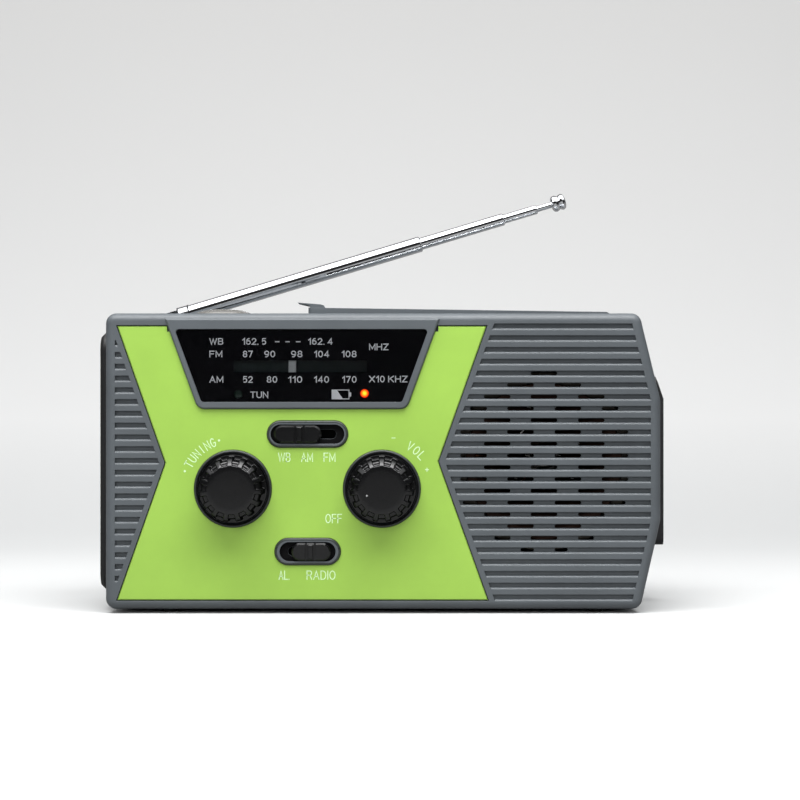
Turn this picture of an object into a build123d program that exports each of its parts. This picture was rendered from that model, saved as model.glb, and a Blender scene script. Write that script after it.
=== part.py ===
from build123d import *
import math
import os

# Hand-crank emergency radio. Millimetres, +Z up, the front faces -Y and +X is to the right
# when facing the front. Pieces are drawn about the middle of the case and saved about the
# middle of the whole width, with the underside of the feet at Z = 0.

# ---------------------------------------------------------------- driving dimensions
# case
FRONT_Y = -21.5  # rib tops of the front face
SPLIT_Y = 4.5  # joint between the two housings
BACK_Y = 30.5
LEFT_X, RIGHT_X = -77.84, 77.9
BASE_Z, TOP_Z = 1.2, 84.2
BOTTOM_RIGHT_X, TOP_RIGHT_X = 72.2, 72.0  # where the slanted right side meets base and top
SIDE_LOW_Z, SIDE_HIGH_Z = 26.0, 59.9  # ends of the upright part of the right side
WALL = 2.2
FRONT_WALL = 2.6
EDGE_R = 2.2
CORNER_R = 2.9
SIDE_CORNER_R = 4.0
BOSS_ROOT_Y = FRONT_Y + FRONT_WALL - 0.3  # bosses sink 0.3 into the front wall
AHEAD_Y = -24  # in front of everything that is cut from the front
BEHIND_Y = 32
# whole width: the crank stands out further than the torch
ARM_OUT_X = 82.3
TORCH_OUT_X = -80.4
MID_X = (ARM_OUT_X + TORCH_OUT_X) / 2
# ribs and speaker
LOUVRE_TOP_Z, LOUVRE_PITCH = 75.9, 3.3
GRILLE_BASE_Z, GRILLE_PITCH = 4.67, 3.301
GRILLE_MARGIN = 2.9
SPEAKER_X, SPEAKER_Z, SPEAKER_R = 45.2, 42.6, 25.6
# front panel
PANEL_FLOOR_Y = -20.0  # floor of the faceplate recess
PANEL_FRONT_Y = -21.3
SURROUND_Y = -22.3  # raised frame round the dial window
RIM_Y = -21.9  # raised rims of the knob wells and switch slots
RIM_CHAMFER = 0.3
# knobs
TUNE_X, VOLUME_X = -42.06, -0.31
KNOB_Z = 35.0
KNOB_TIP_Y = -30.5
WELL_R, RIM_R = 9.95, 10.85
SHAFT_R = 1.5
# slide switches: x, z, rim width, recess width, switch body width
SWITCHES = [(-21.14, 50.3, 22.7, 20.7, 18.0), (-21.1, 17.4, 18.5, 15.7, 14.0)]
SWITCH_RIM_H = 7.56
# main board
BOARD_FRONT_Y, BOARD_BACK_Y = -11.0, -9.4
# rear
DOOR_X, DOOR_Z, DOOR_W, DOOR_H = -10.0, 30.0, 80.0, 26.0
CELL_Y, CELL_Z = 17.0, 30.0
SOCKET_Z = 56.2
# gear train and crank
CRANK_Y, CRANK_Z = 16.0, 58.5
MODULE = 0.6
BIG_TEETH, SMALL_TEETH = 36, 12
GEAR_DISTANCE = MODULE * (BIG_TEETH + SMALL_TEETH) / 2
IDLER_Z = CRANK_Z - GEAR_DISTANCE
GENERATOR_Z = IDLER_Z - GEAR_DISTANCE
# torch in the left end
TORCH_Y, TORCH_Z = 4.5, 42.0
TORCH_BUTTON_Z = 66.0
# top
TRAY_X0, TRAY_X1, TRAY_Y0, TRAY_Y1 = -23.5, 67.2, -14.5, 19.5
LID_PIN_X, LID_PIN_Z = 63.4, 83.0
BUTTON_X, BUTTON_Y = -45.7, -8.0
AERIAL_X, AERIAL_Y, AERIAL_Z = -69.1, 25.7, 83.0  # tilt pivot
AERIAL_TILT = 16.65  # degrees above level

CASE_SCREWS = [(-70.2, 8.5), (-66.5, 70.6), (69.3, 74.0), (69.0, 9.0)]  # x, z
BOARD_SCREWS = [(-57, 10), (11, 10), (-57, 53), (11, 53)]  # x, z
FEET = [(-60.5, -14.0), (60.0, -14.0), (-60.5, 22.0), (60.0, 22.0)]  # x, y
DIAL_LEDS = [(-40.6, 61.5), (-5.2, 61.7)]  # x, z

os.makedirs("parts", exist_ok=True)


# ---------------------------------------------------------------- helpers
# Sketches extruded along Y are drawn in (x, z), along X in (y, z), along Z in (x, y).
def extrude_y(sketch, y0, y1):
    plane = Plane(origin=(0, y1, 0), x_dir=(1, 0, 0), z_dir=(0, -1, 0))
    return extrude(plane * sketch, amount=y1 - y0, dir=(0, -1, 0))


def extrude_x(sketch, x0, x1):
    plane = Plane(origin=(x0, 0, 0), x_dir=(0, 1, 0), z_dir=(1, 0, 0))
    return extrude(plane * sketch, amount=x1 - x0, dir=(1, 0, 0))


def extrude_z(sketch, z0, z1):
    return extrude(Plane.XY.offset(z0) * sketch, amount=z1 - z0, dir=(0, 0, 1))


def box(x0, x1, y0, y1, z0, z1):
    centre = Pos((x0 + x1) / 2, (y0 + y1) / 2, (z0 + z1) / 2)
    return centre * Box(x1 - x0, y1 - y0, z1 - z0)


def rod_y(radius, y0, y1, x, z):
    return extrude_y(Pos(x, z) * Circle(radius), y0, y1)


def rod_x(radius, x0, x1, y, z):
    return extrude_x(Pos(y, z) * Circle(radius), x0, x1)


def rod_z(radius, z0, z1, x, y):
    return extrude_z(Pos(x, y) * Circle(radius), z0, z1)


def polygon(points):
    return Polygon(*points, align=None)


def rounded_rect(width, height, radius, x, y):
    return Pos(x, y) * RectangleRounded(width, height, radius)


def slot(width, height, x, y):
    return Pos(x, y) * SlotOverall(width, height)


def revolve_y(points, x, z):
    """Turn a (radius, y) profile about the line along Y through (x, z)."""
    face = make_face(Polyline(*[(r, y, 0) for r, y in points], close=True))
    return Pos(x, 0, z) * revolve(face, Axis.Y, 360)


def revolve_x(points, y, z):
    """Turn an (x, radius) profile about the line along X through (y, z)."""
    face = make_face(Polyline(*[(x, r, 0) for x, r in points], close=True))
    return Pos(0, y, z) * revolve(face, Axis.X, 360)


def revolve_z(points, x, y):
    """Turn a (radius, z) profile about the line along Z through (x, y)."""
    face = make_face(Polyline(*[(r, 0, z) for r, z in points], close=True))
    return Pos(x, y, 0) * revolve(face, Axis.Z, 360)


def first_edges(shape, axis):
    """Edges of the face that lies lowest along the axis."""
    return shape.faces().sort_by(axis)[0].edges()


def chamfer_front(shape, size):
    return chamfer(first_edges(shape, Axis.Y), size)


def largest(shape):
    return shape.solids().sort_by(SortBy.VOLUME)[-1]


def save(name, *shapes):
    """Write the solids of one piece, set about the middle of the whole width."""
    shift = Location((-MID_X, 0, 0))
    solids = [solid.moved(shift) for shape in shapes for solid in shape.solids()]
    piece = solids[0] if len(solids) == 1 else Compound(children=solids)
    piece.label = name
    export_step(piece, "parts/" + name + ".step")


# ---------------------------------------------------------------- case outline
def case_outline():
    shape = polygon([(LEFT_X, BASE_Z), (BOTTOM_RIGHT_X, BASE_Z), (RIGHT_X, SIDE_LOW_Z),
                     (RIGHT_X, SIDE_HIGH_Z), (TOP_RIGHT_X, TOP_Z), (LEFT_X, TOP_Z)])
    shape = fillet([v for v in shape.vertices() if v.X < 77], CORNER_R)
    return fillet([v for v in shape.vertices() if v.X > 77], SIDE_CORNER_R)


def side_x(z):
    """X of the case's right side at a height."""
    if z > SIDE_HIGH_Z:
        run = (RIGHT_X - TOP_RIGHT_X) / (TOP_Z - SIDE_HIGH_Z)
        return RIGHT_X - (z - SIDE_HIGH_Z) * run
    if z < SIDE_LOW_Z:
        run = (RIGHT_X - BOTTOM_RIGHT_X) / (SIDE_LOW_Z - BASE_Z)
        return RIGHT_X - (SIDE_LOW_Z - z) * run
    return RIGHT_X


outline = case_outline()
inner = offset(outline, amount=-WALL)

# faceplate, dial surround and dial window, all in (x, z)
panel_outline = polygon([(-74.76, 3.6), (29.7, 3.6), (15.68, 42.6), (29.3, 80.8),
                         (-74.76, 80.8), (-61.18, 42.2)])
surround = polygon([(-61.5, 84.0), (-51.8, 57.4), (6.6, 57.4), (16.3, 84.0)])
surround = fillet([v for v in surround.vertices() if v.Y < 60], 2.6)
window = polygon([(-58.35, 79.7), (-50.85, 59.3), (5.35, 59.3), (12.75, 79.7)])
window = fillet(window.vertices(), 0.9)
window_fit = offset(window, amount=-0.06)


# ---------------------------------------------------------------- cuts shared by both housings
def cut_openings(housing):
    """Lid tray opening in the top, torch and torch button holes in the left end."""
    tray_hole = box(TRAY_X0 - 0.1, TRAY_X1 + 0.1, TRAY_Y0 - 0.1, TRAY_Y1 + 0.1, 76, 90)
    torch_hole = rod_x(15.6, -80, -74, TORCH_Y, TORCH_Z)
    button_hole = rod_x(4.2, -80, -74, TORCH_Y, TORCH_BUTTON_Z)
    return housing - tray_hole - torch_hole - button_hole


def cut_feet_and_seam(housing):
    """Foot sockets, and the shallow groove round the joint."""
    for x, y in FEET:
        housing -= rod_z(2.0, 1.0, 1.9, x, y)
    band = offset(outline, amount=1.0) - offset(outline, amount=-0.35)
    return housing - extrude_y(band, SPLIT_Y - 0.3, SPLIT_Y + 0.3)


# ---------------------------------------------------------------- front housing
# groove between two ribs as (y, z): sharp upper edge, floor, rounded edge of the rib below
GROOVE = [
    (-22.6, 0.80), (-21.5, 0.74), (-21.38, 0.63), (-20.4, 0.58),
    (-20.4, -0.56), (-20.8, -0.58), (-21.068, -0.633), (-21.295, -0.785),
    (-21.447, -1.012), (-21.5, -1.28), (-22.6, -1.30),
]
# pegs that guide the dial cord round its corners: x, z
CORD_PEGS = [(TUNE_X - 6.3, 59.25), (2.5, 59.28), (TUNE_X + 8.1, 57.4)]


def groove(x0, x1, z):
    return extrude_x(Pos(0, z) * polygon(GROOVE), x0, x1)


def grille_z(row):
    return GRILLE_BASE_Z + GRILLE_PITCH * row


def rib_grooves():
    """Blind louvres left of the faceplate, and grille grooves over the speaker side."""
    left_field = extrude_y(polygon([(-75.1, 6.9), (-75.1, 77.5), (-62.68, 42.2)]), AHEAD_Y, -20)
    right_field = extrude_y(polygon([
        (31.35, 3.6), (17.33, 42.6), (30.95, 80.8), (31.8, 82.6),
        (side_x(82.6) - GRILLE_MARGIN, 82.6), (RIGHT_X - GRILLE_MARGIN, SIDE_HIGH_Z),
        (RIGHT_X - GRILLE_MARGIN, SIDE_LOW_Z), (side_x(2.6) - GRILLE_MARGIN, 2.6),
        (31.7, 2.6)]), AHEAD_Y, -20)
    grooves = [groove(-75.6, -60.0, LOUVRE_TOP_Z - LOUVRE_PITCH * i) & left_field
               for i in range(21)]
    grooves += [groove(10.0, 80.0, grille_z(i)) & right_field for i in range(24)]
    # slivers at the ends of the fields are left out
    return [solid for cut in grooves for solid in cut.solids() if solid.volume > 0.6]


def speaker_slots():
    """Through-slots in two staggered sets, trimmed to the speaker's circle."""
    half_length = 3.75
    shortest = 2.2
    slots = []
    for k in range(16):
        z = grille_z(19 - k)
        centres = [32.03, 45.16, 58.46] if k % 2 == 0 else [25.42, 38.58, 51.88, 65.1]
        reach_squared = SPEAKER_R ** 2 - (z - SPEAKER_Z) ** 2
        if reach_squared <= 0:
            continue
        reach = math.sqrt(reach_squared)
        for centre in centres:
            x0 = max(centre - half_length, SPEAKER_X - reach)
            x1 = min(centre + half_length, SPEAKER_X + reach)
            if x1 - x0 > shortest:
                slots.append(extrude_y(slot(x1 - x0, 1.05, (x0 + x1) / 2, z), -21.0, -18.0))
    return slots


def surround_below(z):
    return surround & polygon([(-70, 40), (30, 40), (30, z), (-70, z)])


def front_housing():
    front = extrude_y(outline, FRONT_Y, SPLIT_Y)
    front = fillet(first_edges(front, Axis.Y), EDGE_R)
    front -= extrude_y(inner, FRONT_Y + FRONT_WALL, SPLIT_Y + 1)
    front = largest(front)
    front -= rib_grooves()
    front -= speaker_slots()
    # faceplate recess, then the dial surround and the rims that stand in it
    front -= extrude_y(panel_outline, -23, PANEL_FLOOR_Y)
    frame = chamfer_front(extrude_y(surround_below(82.6), SURROUND_Y, FRONT_Y + 0.1), 0.35)
    front += [extrude_y(surround_below(81.9), FRONT_Y, PANEL_FLOOR_Y), frame]
    rims = [rod_y(RIM_R, RIM_Y, PANEL_FLOOR_Y, x, KNOB_Z) for x in (TUNE_X, VOLUME_X)]
    rims += [extrude_y(slot(rim_w, SWITCH_RIM_H, x, z), RIM_Y, PANEL_FLOOR_Y)
             for x, z, rim_w, _, _ in SWITCHES]
    front += [chamfer_front(rim, RIM_CHAMFER) for rim in rims]
    front -= extrude_y(window, AHEAD_Y, -10)
    # knob wells with shaft holes, switch recesses with stem slots
    for x in (TUNE_X, VOLUME_X):
        front -= rod_y(WELL_R, AHEAD_Y, -20.4, x, KNOB_Z)
        front -= rod_y(3.3, AHEAD_Y, -15, x, KNOB_Z)
    for x, z, _, recess_w, _ in SWITCHES:
        front -= extrude_y(slot(recess_w, 5.4, x, z), AHEAD_Y, -20.6)
        front -= extrude_y(slot(recess_w - 4.6, 2.6, x, z), AHEAD_Y, -15)
    # bosses for the case screws and the main board
    for x, z in CASE_SCREWS:
        front += rod_y(3.0, BOSS_ROOT_Y, SPLIT_Y, x, z)
        front -= rod_y(1.4, -12, SPLIT_Y + 1, x, z)
    for x, z in BOARD_SCREWS:
        front += rod_y(2.4, BOSS_ROOT_Y, BOARD_FRONT_Y, x, z)
        front -= rod_y(0.95, -17, -10, x, z)
    for x, z in CORD_PEGS:
        front += rod_y(0.6, BOSS_ROOT_Y, -14.2, x, z)
    front = cut_openings(front)
    # top button hole with a flared mouth
    front -= rod_z(9.0, 80, 86, BUTTON_X, BUTTON_Y)
    front -= revolve_z([(0, 83.9), (9.0, 83.9), (9.5, 84.4), (0, 84.4)], BUTTON_X, BUTTON_Y)
    return largest(cut_feet_and_seam(front))


save("front_housing", front_housing())


# ---------------------------------------------------------------- rear housing
def door_rect(less_width, less_height, radius):
    return rounded_rect(DOOR_W - less_width, DOOR_H - less_height, radius, DOOR_X, DOOR_Z)


def rear_housing():
    rear = extrude_y(outline, SPLIT_Y, BACK_Y)
    rear = fillet(rear.faces().sort_by(Axis.Y)[-1].edges(), EDGE_R)
    rear -= extrude_y(inner, SPLIT_Y - 1, BACK_Y - WALL)
    rear = largest(rear)
    # aerial channel along the top rear edge, open to the rear and to the left
    rear += box(-75.9, 63.2, 18.6, 28.6, 76.6, 82.2)
    rear -= box(-80, 61.2, 21.0, BEHIND_Y, 80.2, 86)
    rear -= rod_z(4.7, 78.8, 81, AERIAL_X, AERIAL_Y)
    rear -= rod_z(2.05, 70, 80, AERIAL_X, AERIAL_Y)
    rear = cut_openings(rear)
    # screw bosses with sunk heads
    for x, z in CASE_SCREWS:
        rear += rod_y(3.0, SPLIT_Y, BACK_Y - WALL + 0.2, x, z)
        rear -= rod_y(1.55, SPLIT_Y - 1, BACK_Y + 1, x, z)
        rear -= rod_y(2.8, 27.3, BACK_Y + 1, x, z)
    # battery door opening with its ledge
    rear += extrude_y(door_rect(-4, -4, 2.5), 27.0, 29.5)
    rear -= extrude_y(door_rect(0, 0, 1.5), 28.9, BEHIND_Y)
    rear -= extrude_y(door_rect(6, 5, 1.5), 26, BEHIND_Y)
    # recess behind the port cover, and its two socket holes
    rear += extrude_y(rounded_rect(32, 17, 2, -54, 55.5), 26.6, 29.5)
    rear -= extrude_y(rounded_rect(28.2, 12.9, 1.2, -54, 55.15), 28.6, BEHIND_Y)
    rear -= extrude_y(slot(9.4, 3.6, -60.2, SOCKET_Z), 25, BEHIND_Y)
    rear -= extrude_y(rounded_rect(14.0, 6.2, 0.5, -48.0, SOCKET_Z), 25, BEHIND_Y)
    # crank shaft hole and vents
    rear -= rod_x(2.56, 74, 80, CRANK_Y, CRANK_Z)
    for i in range(6):
        rear -= extrude_y(slot(26, 1.3, 48, 50 + 3.3 * i), 25, BEHIND_Y)
    return largest(cut_feet_and_seam(rear))


save("rear_housing", rear_housing())


# ---------------------------------------------------------------- faceplate
def faceplate():
    panel = extrude_y(offset(panel_outline, amount=-0.22), PANEL_FRONT_Y, PANEL_FLOOR_Y)
    panel = chamfer_front(panel, 0.3)
    panel -= extrude_y(offset(surround, amount=0.12), AHEAD_Y, -19)
    panel -= box(-60.5, 15.5, AHEAD_Y, -19, 79, 85)
    for x in (TUNE_X, VOLUME_X):
        panel -= rod_y(RIM_R + 0.1, AHEAD_Y, -19, x, KNOB_Z)
    for x, z, rim_w, _, _ in SWITCHES:
        panel -= extrude_y(slot(rim_w + 0.2, SWITCH_RIM_H + 0.2, x, z), AHEAD_Y, -19)
    return largest(panel)


save("faceplate", faceplate())

# ---------------------------------------------------------------- dial
LENS_BACK_Y = -20.4
SCALE_X0, SCALE_X1, SCALE_Z = -42.0, -4.5, 69.3  # long slot in the mask
RAIL_Y, RAIL_Z = -16.4, 63.0  # rod the pointer slides on
POINTER_X = -25.5
POINTER_HALF = 1.05
CORD_Y = -15.3
CORD_R = 7.15  # radius at which the cord lies on the drum
CORD_HALF = 0.2


def dial_mask():
    mask = extrude_y(window_fit, LENS_BACK_Y, PANEL_FLOOR_Y)
    scale = rounded_rect(SCALE_X1 - SCALE_X0, 3.35, 0.3, (SCALE_X0 + SCALE_X1) / 2, SCALE_Z)
    mask -= extrude_y(scale, -21, -19)
    for x, z in DIAL_LEDS:
        mask -= rod_y(1.25, -21, -19, x, z)
    return mask


def dial_chassis():
    chassis = box(-57.5, 11.5, -18.1, -17.3, 66.0, 79.0)
    for x in (-48.6, -1.6):
        chassis += box(x, x + 3, -18.1, -14.6, 60.6, 67.0)
    return chassis + rod_x(0.8, -48.6, 1.4, RAIL_Y, RAIL_Z)


def dial_pointer():
    x0, x1 = POINTER_X - POINTER_HALF, POINTER_X + POINTER_HALF
    pointer = box(x0, x1, -19.5, -18.4, 62.5, 72.2)
    pointer += (box(x0, x1, -19.0, -17.0, 62.5, 65.0)
                + box(POINTER_X - 2.0, POINTER_X + 2.0, -17.9, -14.4, 61.4, 65.0))
    return pointer - rod_x(0.86, -40, -10, RAIL_Y, RAIL_Z)


def cord_run(start, end):
    """Straight run of cord between two (x, z) points on a level or upright line."""
    x0, x1 = sorted((start[0], end[0]))
    z0, z1 = sorted((start[1], end[1]))
    return box(x0 - CORD_HALF, x1 + CORD_HALF, CORD_Y - CORD_HALF, CORD_Y + CORD_HALF,
               z0 - CORD_HALF, z1 + CORD_HALF)


def dial_cord():
    path = [(TUNE_X - CORD_R, KNOB_Z), (TUNE_X - CORD_R, 60.15), (3.4, 60.15), (3.4, 58.4),
            (TUNE_X + CORD_R, 58.4), (TUNE_X + CORD_R, KNOB_Z)]
    runs = [cord_run(start, end) for start, end in zip(path[:-1], path[1:])]
    cord = runs[0]
    for run in runs[1:]:
        cord += run
    # half turn under the drum
    ring = Pos(TUNE_X, KNOB_Z) * (Circle(CORD_R + CORD_HALF) - Circle(CORD_R - CORD_HALF))
    lower = polygon([(-60, KNOB_Z), (-20, KNOB_Z), (-20, 20), (-60, 20)])
    return cord + extrude_y(ring & lower, CORD_Y - CORD_HALF, CORD_Y + CORD_HALF)


LED_PROFILE = [(0, -20.35), (0.7, -20.3), (1.1, -20.1), (1.2, -19.8), (1.2, -18.15), (0, -18.15)]
save("dial_window", extrude_y(window_fit, -21.4, LENS_BACK_Y))
save("dial_mask", dial_mask())
save("dial_chassis", dial_chassis())
save("dial_pointer", dial_pointer())
save("indicator_leds", *[revolve_y(LED_PROFILE, x, z) for x, z in DIAL_LEDS])
save("dial_cord", dial_cord())


# ---------------------------------------------------------------- knobs and controls
def knob(x):
    """Ribbed rotary knob with a skirt, a chamfered face and a blind bore for its shaft."""
    section = Circle(8.15)
    for i in range(16):
        section += Rot(0, 0, 22.5 * i) * (Pos(8.1, 0) * RectangleRounded(1.9, 1.75, 0.5))
    ribbed = extrude_y(Pos(x, KNOB_Z) * section, KNOB_TIP_Y, -21.0)
    cone = revolve_y([(0, KNOB_TIP_Y), (6.5, KNOB_TIP_Y), (7.1, KNOB_TIP_Y + 0.35),
                      (8.45, -28.6), (9.02, -22.0), (9.02, -21.0), (0, -21.0)], x, KNOB_Z)
    body = ribbed & cone
    body += rod_y(9.7, -21.6, -20.7, x, KNOB_Z)
    body -= rod_y(6.1, -24.0, -20, x, KNOB_Z)
    body += rod_y(4.6, -25.0, -20.7, x, KNOB_Z)
    return body - rod_y(3.0, -28.0, -20, x, KNOB_Z)


# cord drum with a groove: radius, y
DRUM = [(2.0, -17.6), (8.2, -17.6), (8.2, -16.2), (6.7, -15.7),
        (6.7, -14.9), (8.2, -14.4), (8.2, -13.2), (2.0, -13.2)]
save("tuning_knob", knob(TUNE_X))
save("volume_knob", knob(VOLUME_X) + rod_y(3.01, -28.0, -16.4, VOLUME_X, KNOB_Z)
     + rod_y(SHAFT_R, -16.4, -12.5, VOLUME_X, KNOB_Z))
save("tuning_drum_shaft", rod_y(3.0, -28.0, -12.6, TUNE_X, KNOB_Z)
     + rod_y(SHAFT_R, -12.6, -5.0, TUNE_X, KNOB_Z) + revolve_y(DRUM, TUNE_X, KNOB_Z))
save("tuning_capacitor", box(TUNE_X - 10, TUNE_X + 10, -9.4, 0.6, KNOB_Z - 10, KNOB_Z + 10)
     - rod_y(SHAFT_R + 0.06, -12, -4.5, TUNE_X, KNOB_Z))
save("volume_control", rod_y(8.0, -16.2, -11.0, VOLUME_X, KNOB_Z)
     - rod_y(SHAFT_R + 0.06, -18, -12.0, VOLUME_X, KNOB_Z))


def switch_cap(x0, x1, ridge_x, z):
    """Rounded pad with a finger ridge between two notches, and a stem through the case wall."""
    cap = extrude_y(rounded_rect(x1 - x0, 4.9, 2.35, (x0 + x1) / 2, z), -22.7, -20.75)
    cap = chamfer_front(cap, 0.45)
    for notch_x in (ridge_x - 1.25, ridge_x + 1.25):
        cap -= box(notch_x - 0.3, notch_x + 0.3, -23.5, -22.25, z - 3, z + 3)
    ridge = box(ridge_x - 0.7, ridge_x + 0.7, -23.1, -22.3, z - 2.0, z + 2.0)
    cap += fillet(first_edges(ridge, Axis.Y), 0.3)
    return cap + box(ridge_x - 1.3, ridge_x + 1.3, -21, -16.2, z - 0.95, z + 0.95)


def switch_body(x, z, width):
    half = width / 2
    return (box(x - half, x + half, -17.8, BOARD_FRONT_Y, z - 3.2, z + 3.2)
            - box(x - half + 1.2, x + half - 1.2, -18, -15.8, z - 1.25, z + 1.25))


def main_board():
    board = box(-60, 14, BOARD_FRONT_Y, BOARD_BACK_Y, 6.5, 56.5)
    board -= rod_y(2.2, -12, -9, TUNE_X, KNOB_Z)
    for x, z in BOARD_SCREWS:
        board -= rod_y(1.1, -12, -9, x, z)
    return board


save("band_switch_cap", switch_cap(-30.5, -17.22, -23.4, SWITCHES[0][1]))
save("mode_switch_cap", switch_cap(-25.6, -14.6, -20.3, SWITCHES[1][1]))
save("slide_switches", *[switch_body(x, z, body_w) for x, z, _, _, body_w in SWITCHES])
save("main_board", main_board())

# ---------------------------------------------------------------- speaker
# profiles: radius, y
BASKET = [(22.2, -18.8), (25.0, -18.8), (25.0, -17.6), (22.8, -17.4), (13.6, -8.0), (13.6, -7.0),
          (4.0, -7.0), (4.0, -8.2), (12.6, -8.2), (12.6, -9.0), (22.0, -18.0)]
CONE = [(21.9, -18.7), (20.4, -18.75), (18.9, -18.2), (6.0, -11.2),
        (6.0, -10.8), (18.6, -17.5), (20.2, -18.3), (21.9, -18.25)]
DUST_CAP = [(0, -14.8), (2.5, -14.5), (4.6, -13.6), (5.9, -12.2), (5.9, -11.3), (0, -11.3)]
save("speaker_frame", revolve_y(BASKET, SPEAKER_X, SPEAKER_Z))
save("speaker_cone", *[revolve_y(profile, SPEAKER_X, SPEAKER_Z) for profile in (CONE, DUST_CAP)])
save("speaker_magnet", rod_y(14.5, -7.0, 1.2, SPEAKER_X, SPEAKER_Z)
     + rod_y(3.9, -10.6, -7.0, SPEAKER_X, SPEAKER_Z))

# ---------------------------------------------------------------- ferrite aerial
FERRITE_Y, FERRITE_Z, FERRITE_R = 10.5, 9.0, 4.0


def ferrite_winding(x0, x1):
    return (rod_x(5.0, x0, x1, FERRITE_Y, FERRITE_Z)
            - rod_x(FERRITE_R, -60, 30, FERRITE_Y, FERRITE_Z))


save("ferrite_rod", rod_x(FERRITE_R, -52, 18, FERRITE_Y, FERRITE_Z))
save("ferrite_coil", ferrite_winding(-34, -20) + ferrite_winding(2, 10))

# ---------------------------------------------------------------- battery
POCKET = dict(x0=-45.8, x1=26.8, z0=20.6, z1=39.4)  # inside of the cradle


def battery_cover():
    """Door with five finger grooves."""
    door = extrude_y(door_rect(0.3, 0.3, 1.4), 28.95, BACK_Y)
    for i in range(5):
        grip_groove = Pos(BACK_Y + 0.2, 38.4 - 1.6 * i) * Circle(0.5)
        door -= extrude_x(grip_groove, DOOR_X - 8, DOOR_X + 8)
    return door


save("battery_cell", rod_x(9.1, -43, 22, CELL_Y, CELL_Z) + rod_x(2.8, 22, 23.2, CELL_Y, CELL_Z))
save("battery_cradle", box(-48, 29, 7.0, 20.0, 19.4, 40.6) - box(y0=9.0, y1=21, **POCKET)
     - rod_x(9.25, POCKET["x0"], POCKET["x1"], CELL_Y, CELL_Z) + box(y0=7.0, y1=7.6, **POCKET))
save("battery_contacts", box(24.2, 26.6, 12, 22, 25, 35),
     revolve_x([(-45.6, 0), (-45.6, 5), (-43.1, 3), (-43.1, 0)], CELL_Y, CELL_Z))
save("battery_cover", battery_cover())


# ---------------------------------------------------------------- charging
def charge_board():
    """Board with a small and a large socket, each a shell with a tongue."""
    board = box(-68, -40, 20.2, 21.8, 48, 63)
    board += (box(-64.2, -56.2, 21.8, 28.2, 54.8, 57.6) - box(-63.4, -57.0, 22.5, 29, 55.5, 56.9)
              + box(-62.6, -57.8, 22.3, 27.4, 56.0, 56.4))
    board += (box(-54.5, -41.5, 21.8, 28.2, 53.4, 59.0) - box(-53.9, -42.1, 22.5, 29, 54.0, 58.4)
              + box(-53.6, -42.4, 22.3, 27.4, 56.4, 58.0))
    return board


def port_cover():
    """Flap with a round pin along its lower edge."""
    flap = box(-67.9, -40.1, 28.75, 30.4, 50.6, 61.3) + rod_x(0.75, -66.8, -41.2, 29.6, 50.3)
    flap += box(-67.9, -40.1, 28.9, 30.3, 50.3, 50.8)
    top_corners = flap.edges().filter_by(Axis.Y).filter_by_position(Axis.Z, 61, 62)
    return fillet(top_corners, 1.0)


save("charge_board", charge_board())
save("port_cover", port_cover())


# ---------------------------------------------------------------- torch in the left end
def torch_head():
    head = extrude_x(rounded_rect(36, 73.0, 5.0, TORCH_Y, 42.45), TORCH_OUT_X, LEFT_X)
    head = chamfer(first_edges(head, Axis.X), 1.0)
    head -= rod_x(15.4, -84, -76, TORCH_Y, TORCH_Z)
    head -= rod_x(4.2, -84, -76, TORCH_Y, TORCH_BUTTON_Z)
    for i in range(4):
        head -= box(-81.5, -79.9, TORCH_Y - 12, TORCH_Y + 12, 10 + 2.6 * i, 11.2 + 2.6 * i)
    return head


# profiles: x, radius
REFLECTOR = [(-77.9, 15.2), (-77.9, 14.2), (-72.1, 12.6), (-66.1, 9.4), (-62.5, 5.0), (-61.7, 2.6),
             (-61.1, 2.6), (-61.1, 6.0), (-65.5, 10.4), (-71.9, 13.6), (-75.1, 15.2)]
TORCH_LED = [(-65.1, 0), (-64.7, 1.4), (-63.5, 2.4), (-61.0, 2.4),
             (-61.0, 5.2), (-60.0, 5.2), (-60.0, 0)]
TORCH_BUTTON = [(TORCH_OUT_X, 0), (-80.35, 2.6), (-80.0, 3.7), (-79.6, 4.1),
                (-76.6, 4.1), (-76.6, 0)]
save("torch_head", torch_head())
save("torch_lens", rod_x(15.3, -79.3, -77.9, TORCH_Y, TORCH_Z))
save("torch_reflector", revolve_x(REFLECTOR, TORCH_Y, TORCH_Z))
save("torch_led", revolve_x(TORCH_LED, TORCH_Y, TORCH_Z))
save("torch_button", revolve_x(TORCH_BUTTON, TORCH_Y, TORCH_BUTTON_Z))

# ---------------------------------------------------------------- gear train
SHAFT_HOLE_R = 2.58
TOOTH_DOWN = -90  # a big gear has a tooth pointing down at its pinion
GAP_UP = 90 + 180 / SMALL_TEETH  # and the pinion has a gap facing it


def gear(teeth, phase, x0, x1, z, backlash=0.09):
    """Involute spur gear on CRANK_Y with a tooth centred on the phase, in degrees."""
    pitch_r = MODULE * teeth / 2
    pressure = math.radians(20)
    base_r = pitch_r * math.cos(pressure)
    tip_r = pitch_r + 0.95 * MODULE
    root_r = pitch_r - 1.2 * MODULE

    def involute(angle):
        return math.tan(angle) - angle

    half = math.pi / (2 * teeth) - backlash / (2 * pitch_r) + involute(pressure)
    start_r = max(base_r, root_r)
    flank = [(root_r, half + 0.02)]  # radius, angle from the tooth's centre
    for k in range(6):
        r = start_r + (tip_r - start_r) * k / 5
        flank.append((r, half - involute(math.acos(min(1.0, base_r / r)))))
    tooth = [(r, -angle) for r, angle in flank] + flank[::-1]
    points = []
    for i in range(teeth):
        centre = math.radians(phase) + 2 * math.pi * i / teeth
        points += [(r * math.cos(centre + angle), r * math.sin(centre + angle))
                   for r, angle in tooth]
    return extrude_x(Pos(CRANK_Y, z) * polygon(points), x0, x1)


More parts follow.
